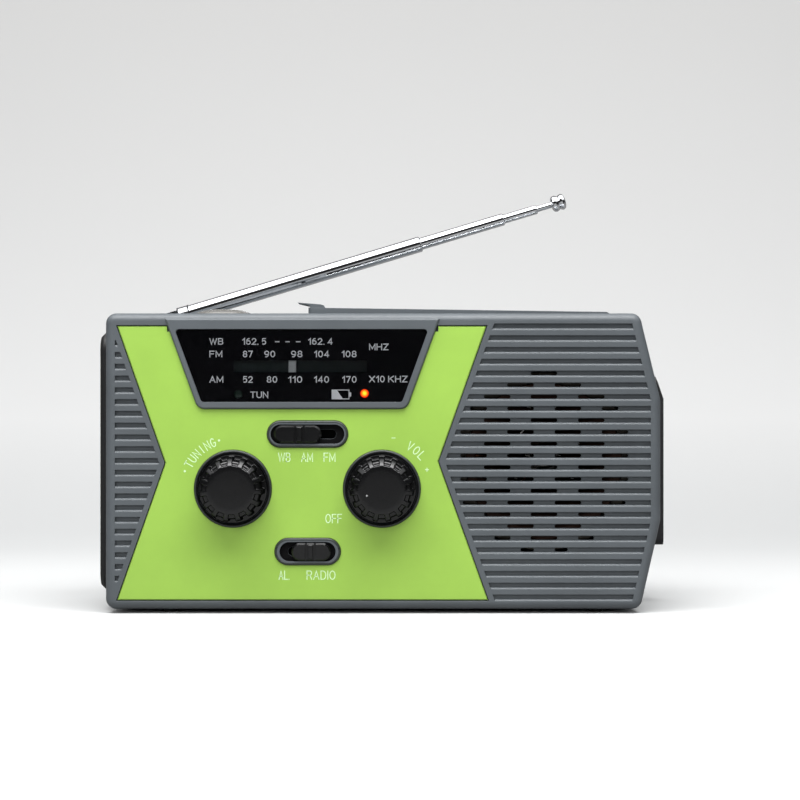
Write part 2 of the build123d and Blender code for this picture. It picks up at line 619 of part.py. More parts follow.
def crank_gear():
    wheel = gear(BIG_TEETH, TOOTH_DOWN, 66.0, 69.0, CRANK_Z)
    wheel -= rod_x(2.5, 60, 75, CRANK_Y, CRANK_Z)
    for i in range(6):
        angle = math.radians(60 * i + 30)
        wheel -= rod_x(1.8, 60, 75, CRANK_Y + 6.2 * math.cos(angle),
                       CRANK_Z + 6.2 * math.sin(angle))
    return wheel


def idler_gear():
    wheel = gear(SMALL_TEETH, GAP_UP, 64.0, 69.6, IDLER_Z)
    wheel += gear(BIG_TEETH, TOOTH_DOWN, 61.2, 64.2, IDLER_Z)
    return wheel - rod_x(1.55, 55, 75, CRANK_Y, IDLER_Z)


def gearbox_plate():
    """Inner plate with the idler's axle."""
    plate = box(58.4, 60.0, CRANK_Y - 10.6, CRANK_Y + 11.4, 19.5, 69.5)
    plate -= rod_x(SHAFT_HOLE_R, 50, 70, CRANK_Y, CRANK_Z)
    plate += rod_x(1.48, 59.0, 72.4, CRANK_Y, IDLER_Z)
    return plate - rod_x(2.2, 50, 70, CRANK_Y, GENERATOR_Z)


def gearbox_cover():
    """Outer plate on four pillars."""
    cover = box(70.8, 72.2, CRANK_Y - 10.6, CRANK_Y + 11.4, 30.5, 69.5)
    for from_axis, z in ((-9.2, 32.4), (10.4, 32.4), (-9.1, 68.0), (9.6, 68.0)):
        cover += rod_x(1.3, 60.0, 71, CRANK_Y + from_axis, z)
    cover -= rod_x(SHAFT_HOLE_R, 50, 75, CRANK_Y, CRANK_Z)
    return cover - rod_x(1.5, 50, 75, CRANK_Y, IDLER_Z)


save("crank_gear", crank_gear())
save("idler_gear", idler_gear())
save("generator_rotor", gear(SMALL_TEETH, GAP_UP, 60.9, 65.0, GENERATOR_Z)
     + rod_x(1.0, 42.0, 61.5, CRANK_Y, GENERATOR_Z) + rod_x(6.2, 43.6, 54.0, CRANK_Y, GENERATOR_Z))
save("generator_body", rod_x(10.0, 41.0, 57.0, CRANK_Y, GENERATOR_Z)
     - rod_x(8.6, 42.8, 55.4, CRANK_Y, GENERATOR_Z) - rod_x(1.08, 41.8, 60, CRANK_Y, GENERATOR_Z))
save("gearbox_frame", gearbox_plate(), gearbox_cover())

# ---------------------------------------------------------------- crank
ARM_IN_X = 78.5
ARM_LOW_Z, ARM_HIGH_Z = 17.2, 66.8
DRIVE_X = 81.2  # outer end of the square drive
GRIP_X, GRIP_Z = 80.4, 21.6  # hinge of the folding grip


def crank_square(size, x0):
    return extrude_x(Pos(CRANK_Y, CRANK_Z) * Rectangle(size, size), x0, DRIVE_X)


def crank_arm():
    arm_z = (ARM_HIGH_Z + ARM_LOW_Z) / 2
    arm = extrude_x(rounded_rect(14, ARM_HIGH_Z - ARM_LOW_Z, 2.0, CRANK_Y, arm_z),
                    ARM_IN_X, ARM_OUT_X)
    # bevel on the upper end
    arm -= extrude_y(polygon([(79.8, 67.5), (ARM_OUT_X, 60.2), (84, 60.2), (84, 67.5)]), 0, 40)
    arm -= crank_square(3.52, 78)
    arm -= box(78, 83, CRANK_Y - 5.6, CRANK_Y + 5.6, 19.4, 41.4)
    return arm - rod_y(0.8, CRANK_Y - 6.6, CRANK_Y + 6.6, GRIP_X, GRIP_Z)


def crank_grip():
    y0, y1 = CRANK_Y - 5.35, CRANK_Y + 5.35
    grip = box(GRIP_X - 1.7, GRIP_X + 1.7, y0, y1, GRIP_Z, 41.0)
    grip += rod_y(1.7, y0, y1, GRIP_X, GRIP_Z)
    for i in range(5):
        grip -= rod_y(0.45, CRANK_Y - 4.2, CRANK_Y + 4.2, GRIP_X + 1.8, 28 + 2.4 * i)
    return grip - rod_y(0.86, CRANK_Y - 7, CRANK_Y + 7, GRIP_X, GRIP_Z)


save("crank_shaft", rod_x(2.5, 58.6, ARM_IN_X, CRANK_Y, CRANK_Z) + crank_square(3.5, ARM_IN_X))
save("crank_arm", crank_arm())
save("grip_pin", rod_y(0.79, CRANK_Y - 6.6, CRANK_Y + 6.6, GRIP_X, GRIP_Z))
save("crank_grip", crank_grip())

# ---------------------------------------------------------------- solar lid on the top
LID_X0 = -21.3  # free end
LID_Y0, LID_Y1 = -13.0, 18.0
LID_BASE_Z = 81.3
LID_FREE_Z, LID_HINGE_Z = 86.1, 84.9  # top of the lid at its two ends
PIN_Y0, PIN_Y1 = -14.2, 19.2


def lid_slab(x0, x1, bottom, top):
    """(x, z) outline that follows the lid's sloping top, with offsets from it."""
    slope = (LID_HINGE_Z - LID_FREE_Z) / (LID_PIN_X - LID_X0)
    z0, z1 = [LID_FREE_Z + slope * (x - LID_X0) for x in (x0, x1)]
    return polygon([(x0, z0 + bottom), (x1, z1 + bottom), (x1, z1 + top), (x0, z0 + top)])


def lid_tray():
    tray = (box(TRAY_X0, TRAY_X1, TRAY_Y0, TRAY_Y1, 78.6, TOP_Z)
            - box(-22.0, 66.0, -13.3, 18.3, 80.2, 90))
    tray -= rod_y(0.82, PIN_Y0, PIN_Y1, LID_PIN_X, LID_PIN_Z)
    return tray - extrude_z(rounded_rect(5, 12, 1.5, -22.2, 2.5), 81.0, 90)


def solar_lid():
    profile = polygon([(LID_X0, LID_BASE_Z), (LID_PIN_X, LID_BASE_Z),
                       (LID_PIN_X, LID_HINGE_Z), (LID_X0, LID_FREE_Z)])
    lid = extrude_y(profile + Pos(LID_PIN_X, LID_PIN_Z) * Circle(1.7), LID_Y0, LID_Y1)
    # blend from the top down to the hinge barrel
    lid += extrude_y(polygon([(LID_PIN_X - 2, 84.92), (LID_PIN_X, LID_HINGE_Z),
                              (LID_PIN_X + 1.0, 84.4), (LID_PIN_X, LID_PIN_Z)]), LID_Y0, LID_Y1)
    upright = lid.edges().filter_by(Axis.Z)
    lid = fillet(upright.filter_by_position(Axis.X, LID_X0 - 0.1, LID_X0 + 0.1), 1.5)
    # solar panel bed, lamp pocket underneath, pin hole
    lid -= extrude_y(lid_slab(-14.5, 58.5, -1.2, 2), -10.5, 15.5)
    lid -= box(-12, 50, -9.5, 14.5, 80, 83.4)
    lid -= rod_y(0.86, -20, 25, LID_PIN_X, LID_PIN_Z)
    # finger tab at the free end
    tab = polygon([(-24.8, 87.95), (LID_X0, 87.15), (-21.0, 85.8),
                   (-16.5, 85.8), (-17.3, 87.2), (-18.2, 87.45)])
    return lid + extrude_y(tab, -4, 9)


save("lid_tray", lid_tray())
save("solar_panel", extrude_y(lid_slab(-14.4, 58.4, -1.2, -0.25), -10.4, 15.4))
save("lamp_board", box(-11.8, 49.8, -9.3, 14.3, 82.4, 83.4))
save("lamp_diffuser", box(-11.9, 49.9, -9.4, 14.4, 81.4, 82.4))
save("lid_pin", rod_y(0.8, PIN_Y0, PIN_Y1, LID_PIN_X, LID_PIN_Z))
save("solar_lid", solar_lid())


# ---------------------------------------------------------------- push buttons
def square_on_button(half_x, half_y, z0, z1):
    return box(BUTTON_X - half_x, BUTTON_X + half_x, BUTTON_Y - half_y, BUTTON_Y + half_y, z0, z1)


# domed button with a flange: radius, z
LAMP_BUTTON = [(0, 85.8), (3.0, 85.72), (5.6, 85.4), (7.6, 84.8), (8.6, 84.0),
               (8.8, 83.2), (8.8, 81.4), (9.6, 81.4), (9.6, 80.6), (0, 80.6)]
save("lamp_button", revolve_z(LAMP_BUTTON, BUTTON_X, BUTTON_Y))
save("push_switches", square_on_button(9, 7, 76.2, 77.4) + square_on_button(3, 3, 77.4, 79.4),
     box(-75.4, -71.4, TORCH_Y - 3, TORCH_Y + 3, 63.0, 69.0))


# ---------------------------------------------------------------- feet and screws
def case_screw(x, z):
    """Screw with a cross recess in its head."""
    head = rod_y(2.6, 27.35, 29.4, x, z)
    for half_x, half_z in ((1.9, 0.35), (0.35, 1.9)):
        head -= box(x - half_x, x + half_x, 28.6, 30, z - half_z, z + half_z)
    return rod_y(1.3, -10, 27.4, x, z) + head


def board_screw(x, z):
    return rod_y(0.9, -16.0, BOARD_BACK_Y, x, z) + rod_y(1.9, BOARD_BACK_Y, -8.2, x, z)


save("rubber_feet", *[fillet(first_edges(rod_z(1.98, 0, 1.9, x, y), Axis.Z), 0.3)
                      for x, y in FEET])
save("screws", *[case_screw(x, z) for x, z in CASE_SCREWS],
     *[board_screw(x, z) for x, z in BOARD_SCREWS])

# ---------------------------------------------------------------- telescopic aerial
# Knuckle, tubes and rod are drawn along X from the pivot, then tilted up.
TILT = Pos(AERIAL_X, AERIAL_Y, AERIAL_Z) * Rot(0, -AERIAL_TILT, 0)
# x of the rear end and of the front end, outer radius, inner radius, lip at the front end
TUBES = [(10.8, 83.7, 2.35, 1.88, 0.3), (40.8, 109.8, 1.82, 1.43, 0.25),
         (51.7, 120.2, 1.38, 0.93, 0.2)]
ROD_END = 124.9
# tip knob: x beyond the rod's end, radius
TIP = [(0, 0.88), (0, 1.7), (0.4, 2.3), (1.2, 2.5), (1.9, 2.2), (2.2, 1.9),
       (2.5, 2.2), (3.2, 2.45), (3.9, 2.1), (4.2, 1.4), (4.2, 0)]


def aerial_turret():
    turret = (rod_z(4.6, 78.85, 80.35, AERIAL_X, AERIAL_Y)
              + rod_z(2.0, 73.6, 79.0, AERIAL_X, AERIAL_Y))
    x0, x1 = AERIAL_X - 2.5, AERIAL_X + 2.5
    ear = Pos(AERIAL_X, AERIAL_Z) * Circle(2.5)
    ear += polygon([(x0, 80.2), (x1, 80.2), (x1, AERIAL_Z), (x0, AERIAL_Z)])
    for y0, y1 in ((-3.1, -1.35), (1.35, 3.1)):
        turret += extrude_y(ear, AERIAL_Y + y0, AERIAL_Y + y1)
    return turret - rod_y(0.8, AERIAL_Y - 5, AERIAL_Y + 5, AERIAL_X, AERIAL_Z)


def aerial_knuckle():
    tang = rod_y(2.4, -1.25, 1.25, 0, 0)
    tang += extrude_y(polygon([(0, -1.9), (8.2, -1.9), (8.2, 1.9), (0, 1.9)]), -1.25, 1.25)
    tang -= rod_y(0.86, -3, 3, 0, 0)
    return tang + revolve_x([(7.3, 0), (7.3, 2.2), (7.6, 2.5), (10.5, 2.5), (10.8, 2.35),
                             (10.8, 1.86), (14, 1.86), (14, 0)], 0, 0)


def tube(x0, x1, outer_r, inner_r, lip):
    return revolve_x([(x0, inner_r), (x1, inner_r), (x1, outer_r - lip),
                      (x1 - lip, outer_r), (x0, outer_r)], 0, 0)


def aerial_rod():
    start = ROD_END - 66
    tip = [(ROD_END + x, r) for x, r in TIP]
    return revolve_x([(start, 0), (start, 0.88)] + tip, 0, 0)


save("aerial_turret", aerial_turret())
save("aerial_pin", rod_y(0.79, AERIAL_Y - 3.4, AERIAL_Y + 3.4, AERIAL_X, AERIAL_Z))
save("aerial_knuckle", TILT * aerial_knuckle())
for number, sizes in enumerate(TUBES, start=1):
    save(f"aerial_tube_{number}", TILT * tube(*sizes))
save("aerial_rod", TILT * aerial_rod())
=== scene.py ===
"""Looks for a crank-charged radio with a torch, a solar lid and a telescopic aerial.

The front faces -Y, the right-hand side seen from the front is +X, and +Z is up. The torch is
at the left end, the solar panel is on top, and the floor is at z = 0.
Pieces are drawn in millimetres about the middle of the case and turned into metres by piece().
"""
import bpy
import bmesh
import math
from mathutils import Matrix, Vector


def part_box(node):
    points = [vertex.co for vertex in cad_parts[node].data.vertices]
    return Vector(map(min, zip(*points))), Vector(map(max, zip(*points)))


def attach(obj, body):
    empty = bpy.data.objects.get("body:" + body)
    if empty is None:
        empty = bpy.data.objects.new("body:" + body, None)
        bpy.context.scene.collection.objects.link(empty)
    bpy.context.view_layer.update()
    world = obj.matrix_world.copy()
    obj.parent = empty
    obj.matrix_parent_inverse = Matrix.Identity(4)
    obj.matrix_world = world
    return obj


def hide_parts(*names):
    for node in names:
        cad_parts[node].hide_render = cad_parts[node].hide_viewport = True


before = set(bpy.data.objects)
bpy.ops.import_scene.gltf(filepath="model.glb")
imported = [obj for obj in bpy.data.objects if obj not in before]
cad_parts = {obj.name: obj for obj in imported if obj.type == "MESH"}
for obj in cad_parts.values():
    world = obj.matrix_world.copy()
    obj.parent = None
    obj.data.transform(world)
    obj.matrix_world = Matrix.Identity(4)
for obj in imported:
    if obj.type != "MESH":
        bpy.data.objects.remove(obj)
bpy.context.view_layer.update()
scene = bpy.context.scene
scene.view_settings.view_transform = "Standard"
scene.view_settings.look = "None"

# ------------------------------------------------------------------ driving sizes (mm)
MM = 0.001
MID_X = 0.95            # the frame's origin is this far to the right of the middle of the case

KNOB_Z = 35.0
TUNING_X = -42.06
VOLUME_X = -0.31
LIT_LAMP_X = -5.2

DIAL_PRINT_Y = -20.42   # surface of the dial mask
PANEL_PRINT_Y = -21.3   # surface of the faceplate
STROKE = 0.27           # line width of all lettering

SPEAKER_X, SPEAKER_Z = 45.2, 42.6


# ------------------------------------------------------------------ shader node helpers
class Nodes:
    """A node tree, cleared, with short ways to add nodes to it."""

    def __init__(self, tree):
        self.tree = tree
        tree.nodes.clear()

    def add(self, kind, inputs=None, **settings):
        node = self.tree.nodes.new("ShaderNode" + kind)
        for key, value in settings.items():
            setattr(node, key, value)
        self.feed(node, inputs or {})
        return node

    def feed(self, node, inputs):
        """Link each input to a socket, or set it to a plain value; colours are given as RGB."""
        for key, value in inputs.items():
            socket = node.inputs[key]
            if isinstance(value, bpy.types.NodeSocket):
                self.tree.links.new(value, socket)
            elif socket.type == "RGBA":
                socket.default_value = (*value, 1.0)
            else:
                socket.default_value = value

    def coords(self):
        return self.add("TexCoord").outputs["Object"]

    def noise(self, coords, scale, detail, rough):
        inputs = {"Scale": scale, "Detail": detail, "Roughness": rough, "Vector": coords}
        return self.add("TexNoise", inputs).outputs["Fac"]

    def remap(self, value, span, to=(0.0, 1.0)):
        """Map the span of values onto another, clamped at both ends."""
        inputs = {"From Min": span[0], "From Max": span[1], "To Min": to[0], "To Max": to[1],
                  "Value": value}
        return self.add("MapRange", inputs).outputs[0]

    def math(self, operation, a, b=None, clamp=False):
        inputs = {0: a} if b is None else {0: a, 1: b}
        return self.add("Math", inputs, operation=operation, use_clamp=clamp).outputs[0]

    def mix(self, factor, a, b):
        return self.add("Mix", {0: factor, 6: a, 7: b}, data_type="RGBA").outputs[2]

    def edge_mask(self, radius):
        """Bright where the surface turns a corner: the bevelled normal against the true one."""
        bevel = self.add("Bevel", {"Radius": radius}, samples=4)
        geometry = self.add("NewGeometry")
        dot = self.add("VectorMath", {0: bevel.outputs[0], 1: geometry.outputs["Normal"]},
                       operation="DOT_PRODUCT")
        turn = self.math("SUBTRACT", 1.0, dot.outputs["Value"])
        return self.remap(turn, span=(0.02, 0.22))

    def rounded_bump(self, height, strength, distance, radius):
        """Bump laid over a normal that rounds the edges off by a radius."""
        bump = self.add("Bump", {"Strength": strength, "Distance": distance, "Height": height})
        bevel = self.add("Bevel", {"Radius": radius}, samples=4)
        self.feed(bump, {"Normal": bevel.outputs[0]})
        return bump.outputs[0]


materials = {}


def start_material(name):
    material = bpy.data.materials.new(name)
    material.use_nodes = True
    materials[name] = material
    nodes = Nodes(material.node_tree)
    return nodes, nodes.add("OutputMaterial")


def start_principled(name):
    nodes, output = start_material(name)
    surface = nodes.add("BsdfPrincipled")
    nodes.feed(output, {0: surface.outputs[0]})
    return nodes, surface


# ------------------------------------------------------------------ kinds of material
def plastic(name, color, rough=0.45, grain=2600.0, grain_mm=0.012, var=0.06, wear=0.25,
            wear_color=None, spec=0.5, bevel=0.00022, rough_var=0.10, coat=0.0,
            polish_front=False):
    """Moulded plastic: spark-eroded grain, uneven gloss, faint mottling, rubbed edges."""
    nodes, surface = start_principled(name)
    coords = nodes.coords()
    broad = nodes.noise(coords, scale=38.0, detail=3.0, rough=0.55)
    medium = nodes.noise(coords, scale=420.0, detail=4.0, rough=0.6)
    fine = nodes.noise(coords, scale=grain, detail=3.0, rough=0.65)

    # mottling: broad patches of light and dark, then darker specks of middle size
    light = tuple(min(1.0, c * (1 + var * 1.6) + min(var * 0.012, c * 0.1)) for c in color)
    dark = tuple(c * (1 - var * 1.6) for c in color)
    speck = tuple(c * 0.72 for c in color)
    shade = nodes.mix(nodes.remap(broad, span=(0.35, 0.65)), dark, light)
    specks = nodes.math("MULTIPLY", nodes.remap(medium, span=(0.4, 0.7)), var * 2.2)
    shade = nodes.mix(specks, shade, speck)

    # wear: edges rubbed paler and glossier, in broken patches
    edges = nodes.edge_mask(bevel * 1.8)
    patches = nodes.noise(coords, scale=260.0, detail=5.0, rough=0.7)
    patches = nodes.remap(patches, span=(0.42, 0.62), to=(0.15, 1.0))
    rubbed = nodes.math("MULTIPLY", edges, patches)
    worn = wear_color or tuple(min(1.0, c * 1.7 + 0.02) for c in color)
    shade = nodes.mix(nodes.math("MULTIPLY", rubbed, wear), shade, worn)
    gloss = nodes.remap(medium, span=(0.3, 0.7), to=(rough - rough_var, rough + rough_var))
    gloss = nodes.math("ADD", gloss, nodes.math("MULTIPLY", rubbed, -0.10), clamp=True)

    nodes.feed(surface, {
        "Base Color": shade,
        "Roughness": gloss,
        "Specular IOR Level": spec,
        "Coat Weight": coat,
        "Coat Roughness": 0.12,
        "Normal": nodes.rounded_bump(fine, strength=0.75, distance=grain_mm * MM, radius=bevel),
    })
    if polish_front:
        polish_faces(nodes, surface)


def polish_faces(nodes, surface):
    """Keep the shine on faces and shoulders that look along Y; the drafted walls go matt."""
    normal = nodes.add("NewGeometry").outputs["True Normal"]
    parts = nodes.add("SeparateXYZ", {0: normal})
    facing = nodes.remap(nodes.math("ABSOLUTE", parts.outputs["Y"]), span=(0.62, 0.74))
    for key in ("Specular IOR Level", "Coat Weight"):
        shine = nodes.math("MULTIPLY", facing, surface.inputs[key].default_value)
        nodes.feed(surface, {key: shine})


def metal(name, color, rough=0.12, scratch=0.15):
    """Metal with fine scratches, finger haze and a little tarnish in patches."""
    nodes, surface = start_principled(name)
    coords = nodes.coords()
    haze = nodes.noise(coords, scale=160.0, detail=5.0, rough=0.65)
    # scratches: noise drawn out along X
    stretched = nodes.add("Mapping", {"Scale": (60.0, 3800.0, 3800.0), "Vector": coords})
    lines = nodes.noise(stretched.outputs[0], scale=1.0, detail=4.0, rough=0.6)
    tarnish = tuple(c * 0.88 for c in color)
    shade = nodes.mix(nodes.remap(haze, span=(0.35, 0.7)), color, tarnish)
    gloss = nodes.remap(haze, span=(0.35, 0.7), to=(rough * 0.6, rough * 1.5))
    scuff = nodes.remap(lines, span=(0.5, 0.8), to=(0.0, scratch * 0.5))
    nodes.feed(surface, {
        "Metallic": 1.0,
        "Base Color": shade,
        "Roughness": nodes.math("ADD", gloss, scuff, clamp=True),
        "Normal": nodes.rounded_bump(lines, strength=scratch, distance=0.000004, radius=0.0001),
    })


def clear(name, tint, rough):
    """Thin clear plastic: see-through with surface reflections and a few hairline marks."""
    nodes, output = start_material(name)
    through = nodes.add("BsdfTransparent", {0: tint})
    glossy = nodes.add("BsdfGlossy", {"Roughness": rough})
    fresnel = nodes.add("Fresnel", {"IOR": 1.49})
    coords = nodes.coords()
    hairlines = nodes.noise(coords, scale=900.0, detail=5.0, rough=0.7)
    gloss = nodes.remap(hairlines, span=(0.4, 0.75), to=(rough * 0.5, rough * 2.2))
    bump = nodes.add("Bump", {"Strength": 0.08, "Distance": 0.000004})
    ripple = nodes.noise(coords, scale=240.0, detail=2.0, rough=0.5)
    nodes.feed(bump, {"Height": ripple})
    nodes.feed(glossy, {"Roughness": gloss, "Normal": bump.outputs[0]})
    blend = nodes.add("MixShader", {1: through.outputs[0], 2: glossy.outputs[0]})
    # the added number sets how much more reflective than plain Fresnel the sheet is
    nodes.feed(blend, {0: nodes.math("ADD", fresnel.outputs[0], 0.0)})
    nodes.feed(output, {0: blend.outputs[0]})


def ink(name, color, glow=0.0):
    """Screen-printed ink: slightly uneven coverage, matt; a glow, where given, is painted light:
    a faint emission on the print.
    """
    nodes, surface = start_principled(name)
    cover = nodes.noise(nodes.coords(), scale=2200.0, detail=3.0, rough=0.7)
    thin = tuple(c * 0.75 for c in color)
    shade = nodes.mix(nodes.remap(cover, span=(0.35, 0.7), to=(0.0, 0.25)), color, thin)
    gloss = nodes.remap(cover, span=(0.3, 0.7), to=(0.5, 0.65))
    nodes.feed(surface, {"Base Color": shade, "Roughness": gloss})
    # painted light: the print gets a faint emission though it is no lamp
    if glow:
        nodes.feed(surface, {"Emission Color": color, "Emission Strength": glow})


def lit_lamp():
    """Lit lamp: an amber centre falling off to red at the rim."""
    glow_z = 61.75
    nodes, surface = start_principled("led_lit_amber")
    coords = nodes.coords()
    flicker = nodes.noise(coords, scale=1500.0, detail=2.0, rough=0.5)
    place = nodes.add("SeparateXYZ", {0: coords})
    dx = nodes.math("SUBTRACT", place.outputs["X"], (LIT_LAMP_X - MID_X) * MM)
    dz = nodes.math("SUBTRACT", place.outputs["Z"], glow_z * MM)
    dx_squared = nodes.math("MULTIPLY", dx, dx)
    dz_squared = nodes.math("MULTIPLY", dz, dz)
    radius = nodes.math("SQRT", nodes.math("ADD", dx_squared, dz_squared))
    outward = nodes.remap(radius, span=(0.0002, 0.0011))
    shade = nodes.mix(outward, (1.0, 0.50, 0.02), (1.0, 0.015, 0.0))
    falloff = nodes.remap(outward, span=(0.0, 1.0), to=(1.9, 0.85))
    uneven = nodes.remap(flicker, span=(0.3, 0.7), to=(0.9, 1.1))
    nodes.feed(surface, {
        "Base Color": shade,
        "Emission Color": shade,
        "Emission Strength": nodes.math("MULTIPLY", falloff, uneven),
        "Roughness": 0.2,
    })


def solar_cell():
    """Blue crystalline cells with fine pale bands repeating along Y, under a glossy coat."""
    nodes, surface = start_principled("solar_cell_blue")
    coords = nodes.coords()
    crystals = nodes.add("TexVoronoi", {"Scale": 260.0, "Vector": coords})
    depth = nodes.remap(crystals.outputs["Distance"], span=(0.0, 0.9))
    blue = nodes.mix(depth, (0.004, 0.007, 0.028), (0.010, 0.020, 0.070))
    bands = nodes.add("TexWave", {"Scale": 260.0, "Vector": coords},
                      wave_type="BANDS", bands_direction="Y")
    lines = nodes.remap(bands.outputs["Fac"], span=(0.93, 0.99), to=(0.0, 0.7))
    nodes.feed(surface, {
        "Base Color": nodes.mix(lines, blue, (0.25, 0.26, 0.30)),
        "Roughness": 0.22,
        "Coat Weight": 1.0,
        "Coat Roughness": 0.05,
    })


# ------------------------------------------------------------------ the materials
def make_materials():
    plastic("case_grey", (0.092, 0.104, 0.114), rough=0.42, grain=2400.0, grain_mm=0.016,
            var=0.05, wear=0.30, rough_var=0.07)
    plastic("faceplate_lime", (0.325, 0.545, 0.083), rough=0.40, grain=3000.0, grain_mm=0.006,
            var=0.030, wear=0.22, wear_color=(0.55, 0.80, 0.22), bevel=0.00018, rough_var=0.05)
    plastic("black_satin", (0.0085, 0.0088, 0.0095), rough=0.30, grain_mm=0.010, var=0.08,
            wear=0.30, wear_color=(0.05, 0.05, 0.055), bevel=0.00025, rough_var=0.08)
    plastic("knob_black", (0.0046, 0.0047, 0.0050), rough=0.19, grain=1900.0, grain_mm=0.003,
            var=0.10, wear=0.16, wear_color=(0.035, 0.035, 0.038), bevel=0.00010,
            rough_var=0.05, spec=0.34, coat=0.45, polish_front=True)
    plastic("torch_black", (0.0075, 0.0075, 0.0080), rough=0.58, grain=2200.0, grain_mm=0.02,
            var=0.10, wear=0.22, wear_color=(0.04, 0.04, 0.04))
    plastic("black_matt", (0.014, 0.014, 0.015), rough=0.55, grain=2200.0, grain_mm=0.02,
            var=0.10, wear=0.35, wear_color=(0.06, 0.06, 0.06))
    # black for the slide switches; on the liners it is painted shade laid over the grey walls of
    # the slots and wells
    plastic("black_switch_and_painted_shade", (0.003, 0.003, 0.0035), rough=0.6, var=0.1, wear=0.0, spec=0.15)
    # painted shade: a darker grey than the case, for the rounded rims round the slots and wells
    plastic("rim_painted_shade_grey", (0.030, 0.036, 0.034), rough=0.34, var=0.08, wear=0.3,
            wear_color=(0.10, 0.11, 0.11))
    plastic("ring_dark", (0.012, 0.013, 0.016), rough=0.4, var=0.1, wear=0.0)
    plastic("button_satin_grey", (0.150, 0.145, 0.135), rough=0.26, grain=1600.0,
            grain_mm=0.004, var=0.05, wear=0.1, rough_var=0.05, coat=0.3)
    plastic("rubber_black", (0.017, 0.017, 0.018), rough=0.72, grain=1800.0, grain_mm=0.02,
            var=0.12, wear=0.15, spec=0.3)
    plastic("dial_mask_black", (0.0022, 0.0020, 0.0034), rough=0.22, grain_mm=0.001, var=0.02,
            wear=0.0, rough_var=0.02, spec=0.25)
    plastic("dial_back_green", (0.006, 0.011, 0.011), rough=0.5, grain=1500.0, grain_mm=0.01,
            var=0.3, wear=0.0)
    metal("chrome", (0.80, 0.81, 0.83), rough=0.055, scratch=0.10)
    metal("chrome_soft", (0.62, 0.63, 0.65), rough=0.16, scratch=0.25)
    metal("steel", (0.42, 0.42, 0.43), rough=0.28, scratch=0.4)
    metal("dark_metal", (0.055, 0.050, 0.043), rough=0.34, scratch=0.3)
    metal("brass", (0.66, 0.48, 0.20), rough=0.25, scratch=0.3)
    metal("copper", (0.62, 0.27, 0.13), rough=0.3, scratch=0.3)
    clear("clear_window", tint=(0.94, 0.95, 0.96), rough=0.03)
    clear("torch_clear", tint=(0.96, 0.97, 0.98), rough=0.02)
    plastic("pointer_pale", (0.40, 0.41, 0.41), rough=0.35, var=0.05, wear=0.1)
    plastic("nylon_white", (0.62, 0.62, 0.57), var=0.04, wear=0.05)
    plastic("board_green", (0.02, 0.11, 0.045), rough=0.3, var=0.15, wear=0.1, coat=0.5)
    plastic("cone_paper", (0.050, 0.028, 0.022), rough=0.8, grain=1200.0, grain_mm=0.05,
            var=0.25, wear=0.0, spec=0.2)
    plastic("cone_surround", (0.018, 0.016, 0.015), rough=0.6, var=0.1, wear=0.0)
    metal("dust_cap_silver", (0.55, 0.52, 0.48), rough=0.22, scratch=0.1)
    plastic("ferrite", (0.03, 0.03, 0.032), rough=0.6, grain=900.0, grain_mm=0.03, var=0.2)
    plastic("cell_sleeve_blue", (0.02, 0.10, 0.30), rough=0.25, grain=700.0, grain_mm=0.006,
            var=0.05, coat=0.4)
    plastic("diffuser_frosted", (0.62, 0.64, 0.62), rough=0.5, grain=1400.0, grain_mm=0.02,
            var=0.03, wear=0.0)
    # the dial print's faint emission is painted light
    ink("ink_dial_grey", (0.80, 0.81, 0.84), glow=0.04)
    ink("ink_panel_pale", (0.66, 0.90, 0.52))
    plastic("led_unlit", (0.010, 0.022, 0.016), rough=0.2, var=0.1, wear=0.0)
    plastic("wire_red", (0.45, 0.02, 0.015), rough=0.35, var=0.05, wear=0.0)
    plastic("wire_black", (0.012, 0.012, 0.012), rough=0.35, var=0.05, wear=0.0)
    # painted highlights: flat pale greys that stand for glints off the speaker behind the slots
    plastic("painted_glint_bright", (0.90, 0.88, 0.85), rough=0.3, var=0.03, wear=0.0)
    plastic("painted_glint_dim", (0.42, 0.41, 0.39), rough=0.3, var=0.1, wear=0.0)
    plastic("wire_olive", (0.16, 0.17, 0.02), rough=0.35, var=0.1, wear=0.0)
    metal("solder", (0.70, 0.70, 0.72), rough=0.2, scratch=0.1)
    lit_lamp()
    solar_cell()


# material: the CAD pieces that wear it
CAD_MATERIALS = {
    "case_grey": "front_housing rear_housing battery_cover lid_tray solar_lid",
    "faceplate_lime": "faceplate",
    "clear_window": "dial_window",
    "dial_mask_black": "dial_mask",
    "dial_back_green": "dial_chassis",
    "pointer_pale": "dial_pointer",
    "led_unlit": "indicator_leds",
    "nylon_white": "dial_cord tuning_drum_shaft tuning_capacitor torch_led crank_gear idler_gear",
    "black_satin": "tuning_knob volume_knob crank_grip",
    "knob_black": "band_switch_cap mode_switch_cap",
    "black_switch_and_painted_shade": "slide_switches",
    "black_matt": "battery_cradle gearbox_frame crank_arm push_switches",
    "rubber_black": "port_cover torch_button rubber_feet",
    "torch_black": "torch_head",
    "torch_clear": "torch_lens",
    "button_satin_grey": "lamp_button",
    "diffuser_frosted": "lamp_diffuser",
    "board_green": "main_board charge_board lamp_board",
    "solar_cell_blue": "solar_panel",
    "cone_paper": "speaker_cone",
    "ferrite": "ferrite_rod",
    "cell_sleeve_blue": "battery_cell",
    "copper": "ferrite_coil",
    "brass": "generator_rotor",
    "dark_metal": "speaker_frame",
    "steel": "volume_control speaker_magnet generator_body crank_shaft grip_pin lid_pin screws "
             "aerial_pin",
    "chrome_soft": "battery_contacts aerial_turret aerial_knuckle",
    "chrome": "torch_reflector aerial_tube_1 aerial_tube_2 aerial_tube_3 aerial_rod",
}


def paint_cad_pieces():
    material_of = {piece_name: material for material, names in CAD_MATERIALS.items()
                   for piece_name in names.split()}
    for name, cad_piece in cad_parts.items():
        cad_piece.data.materials.clear()
        cad_piece.data.materials.append(materials[material_of[name]])


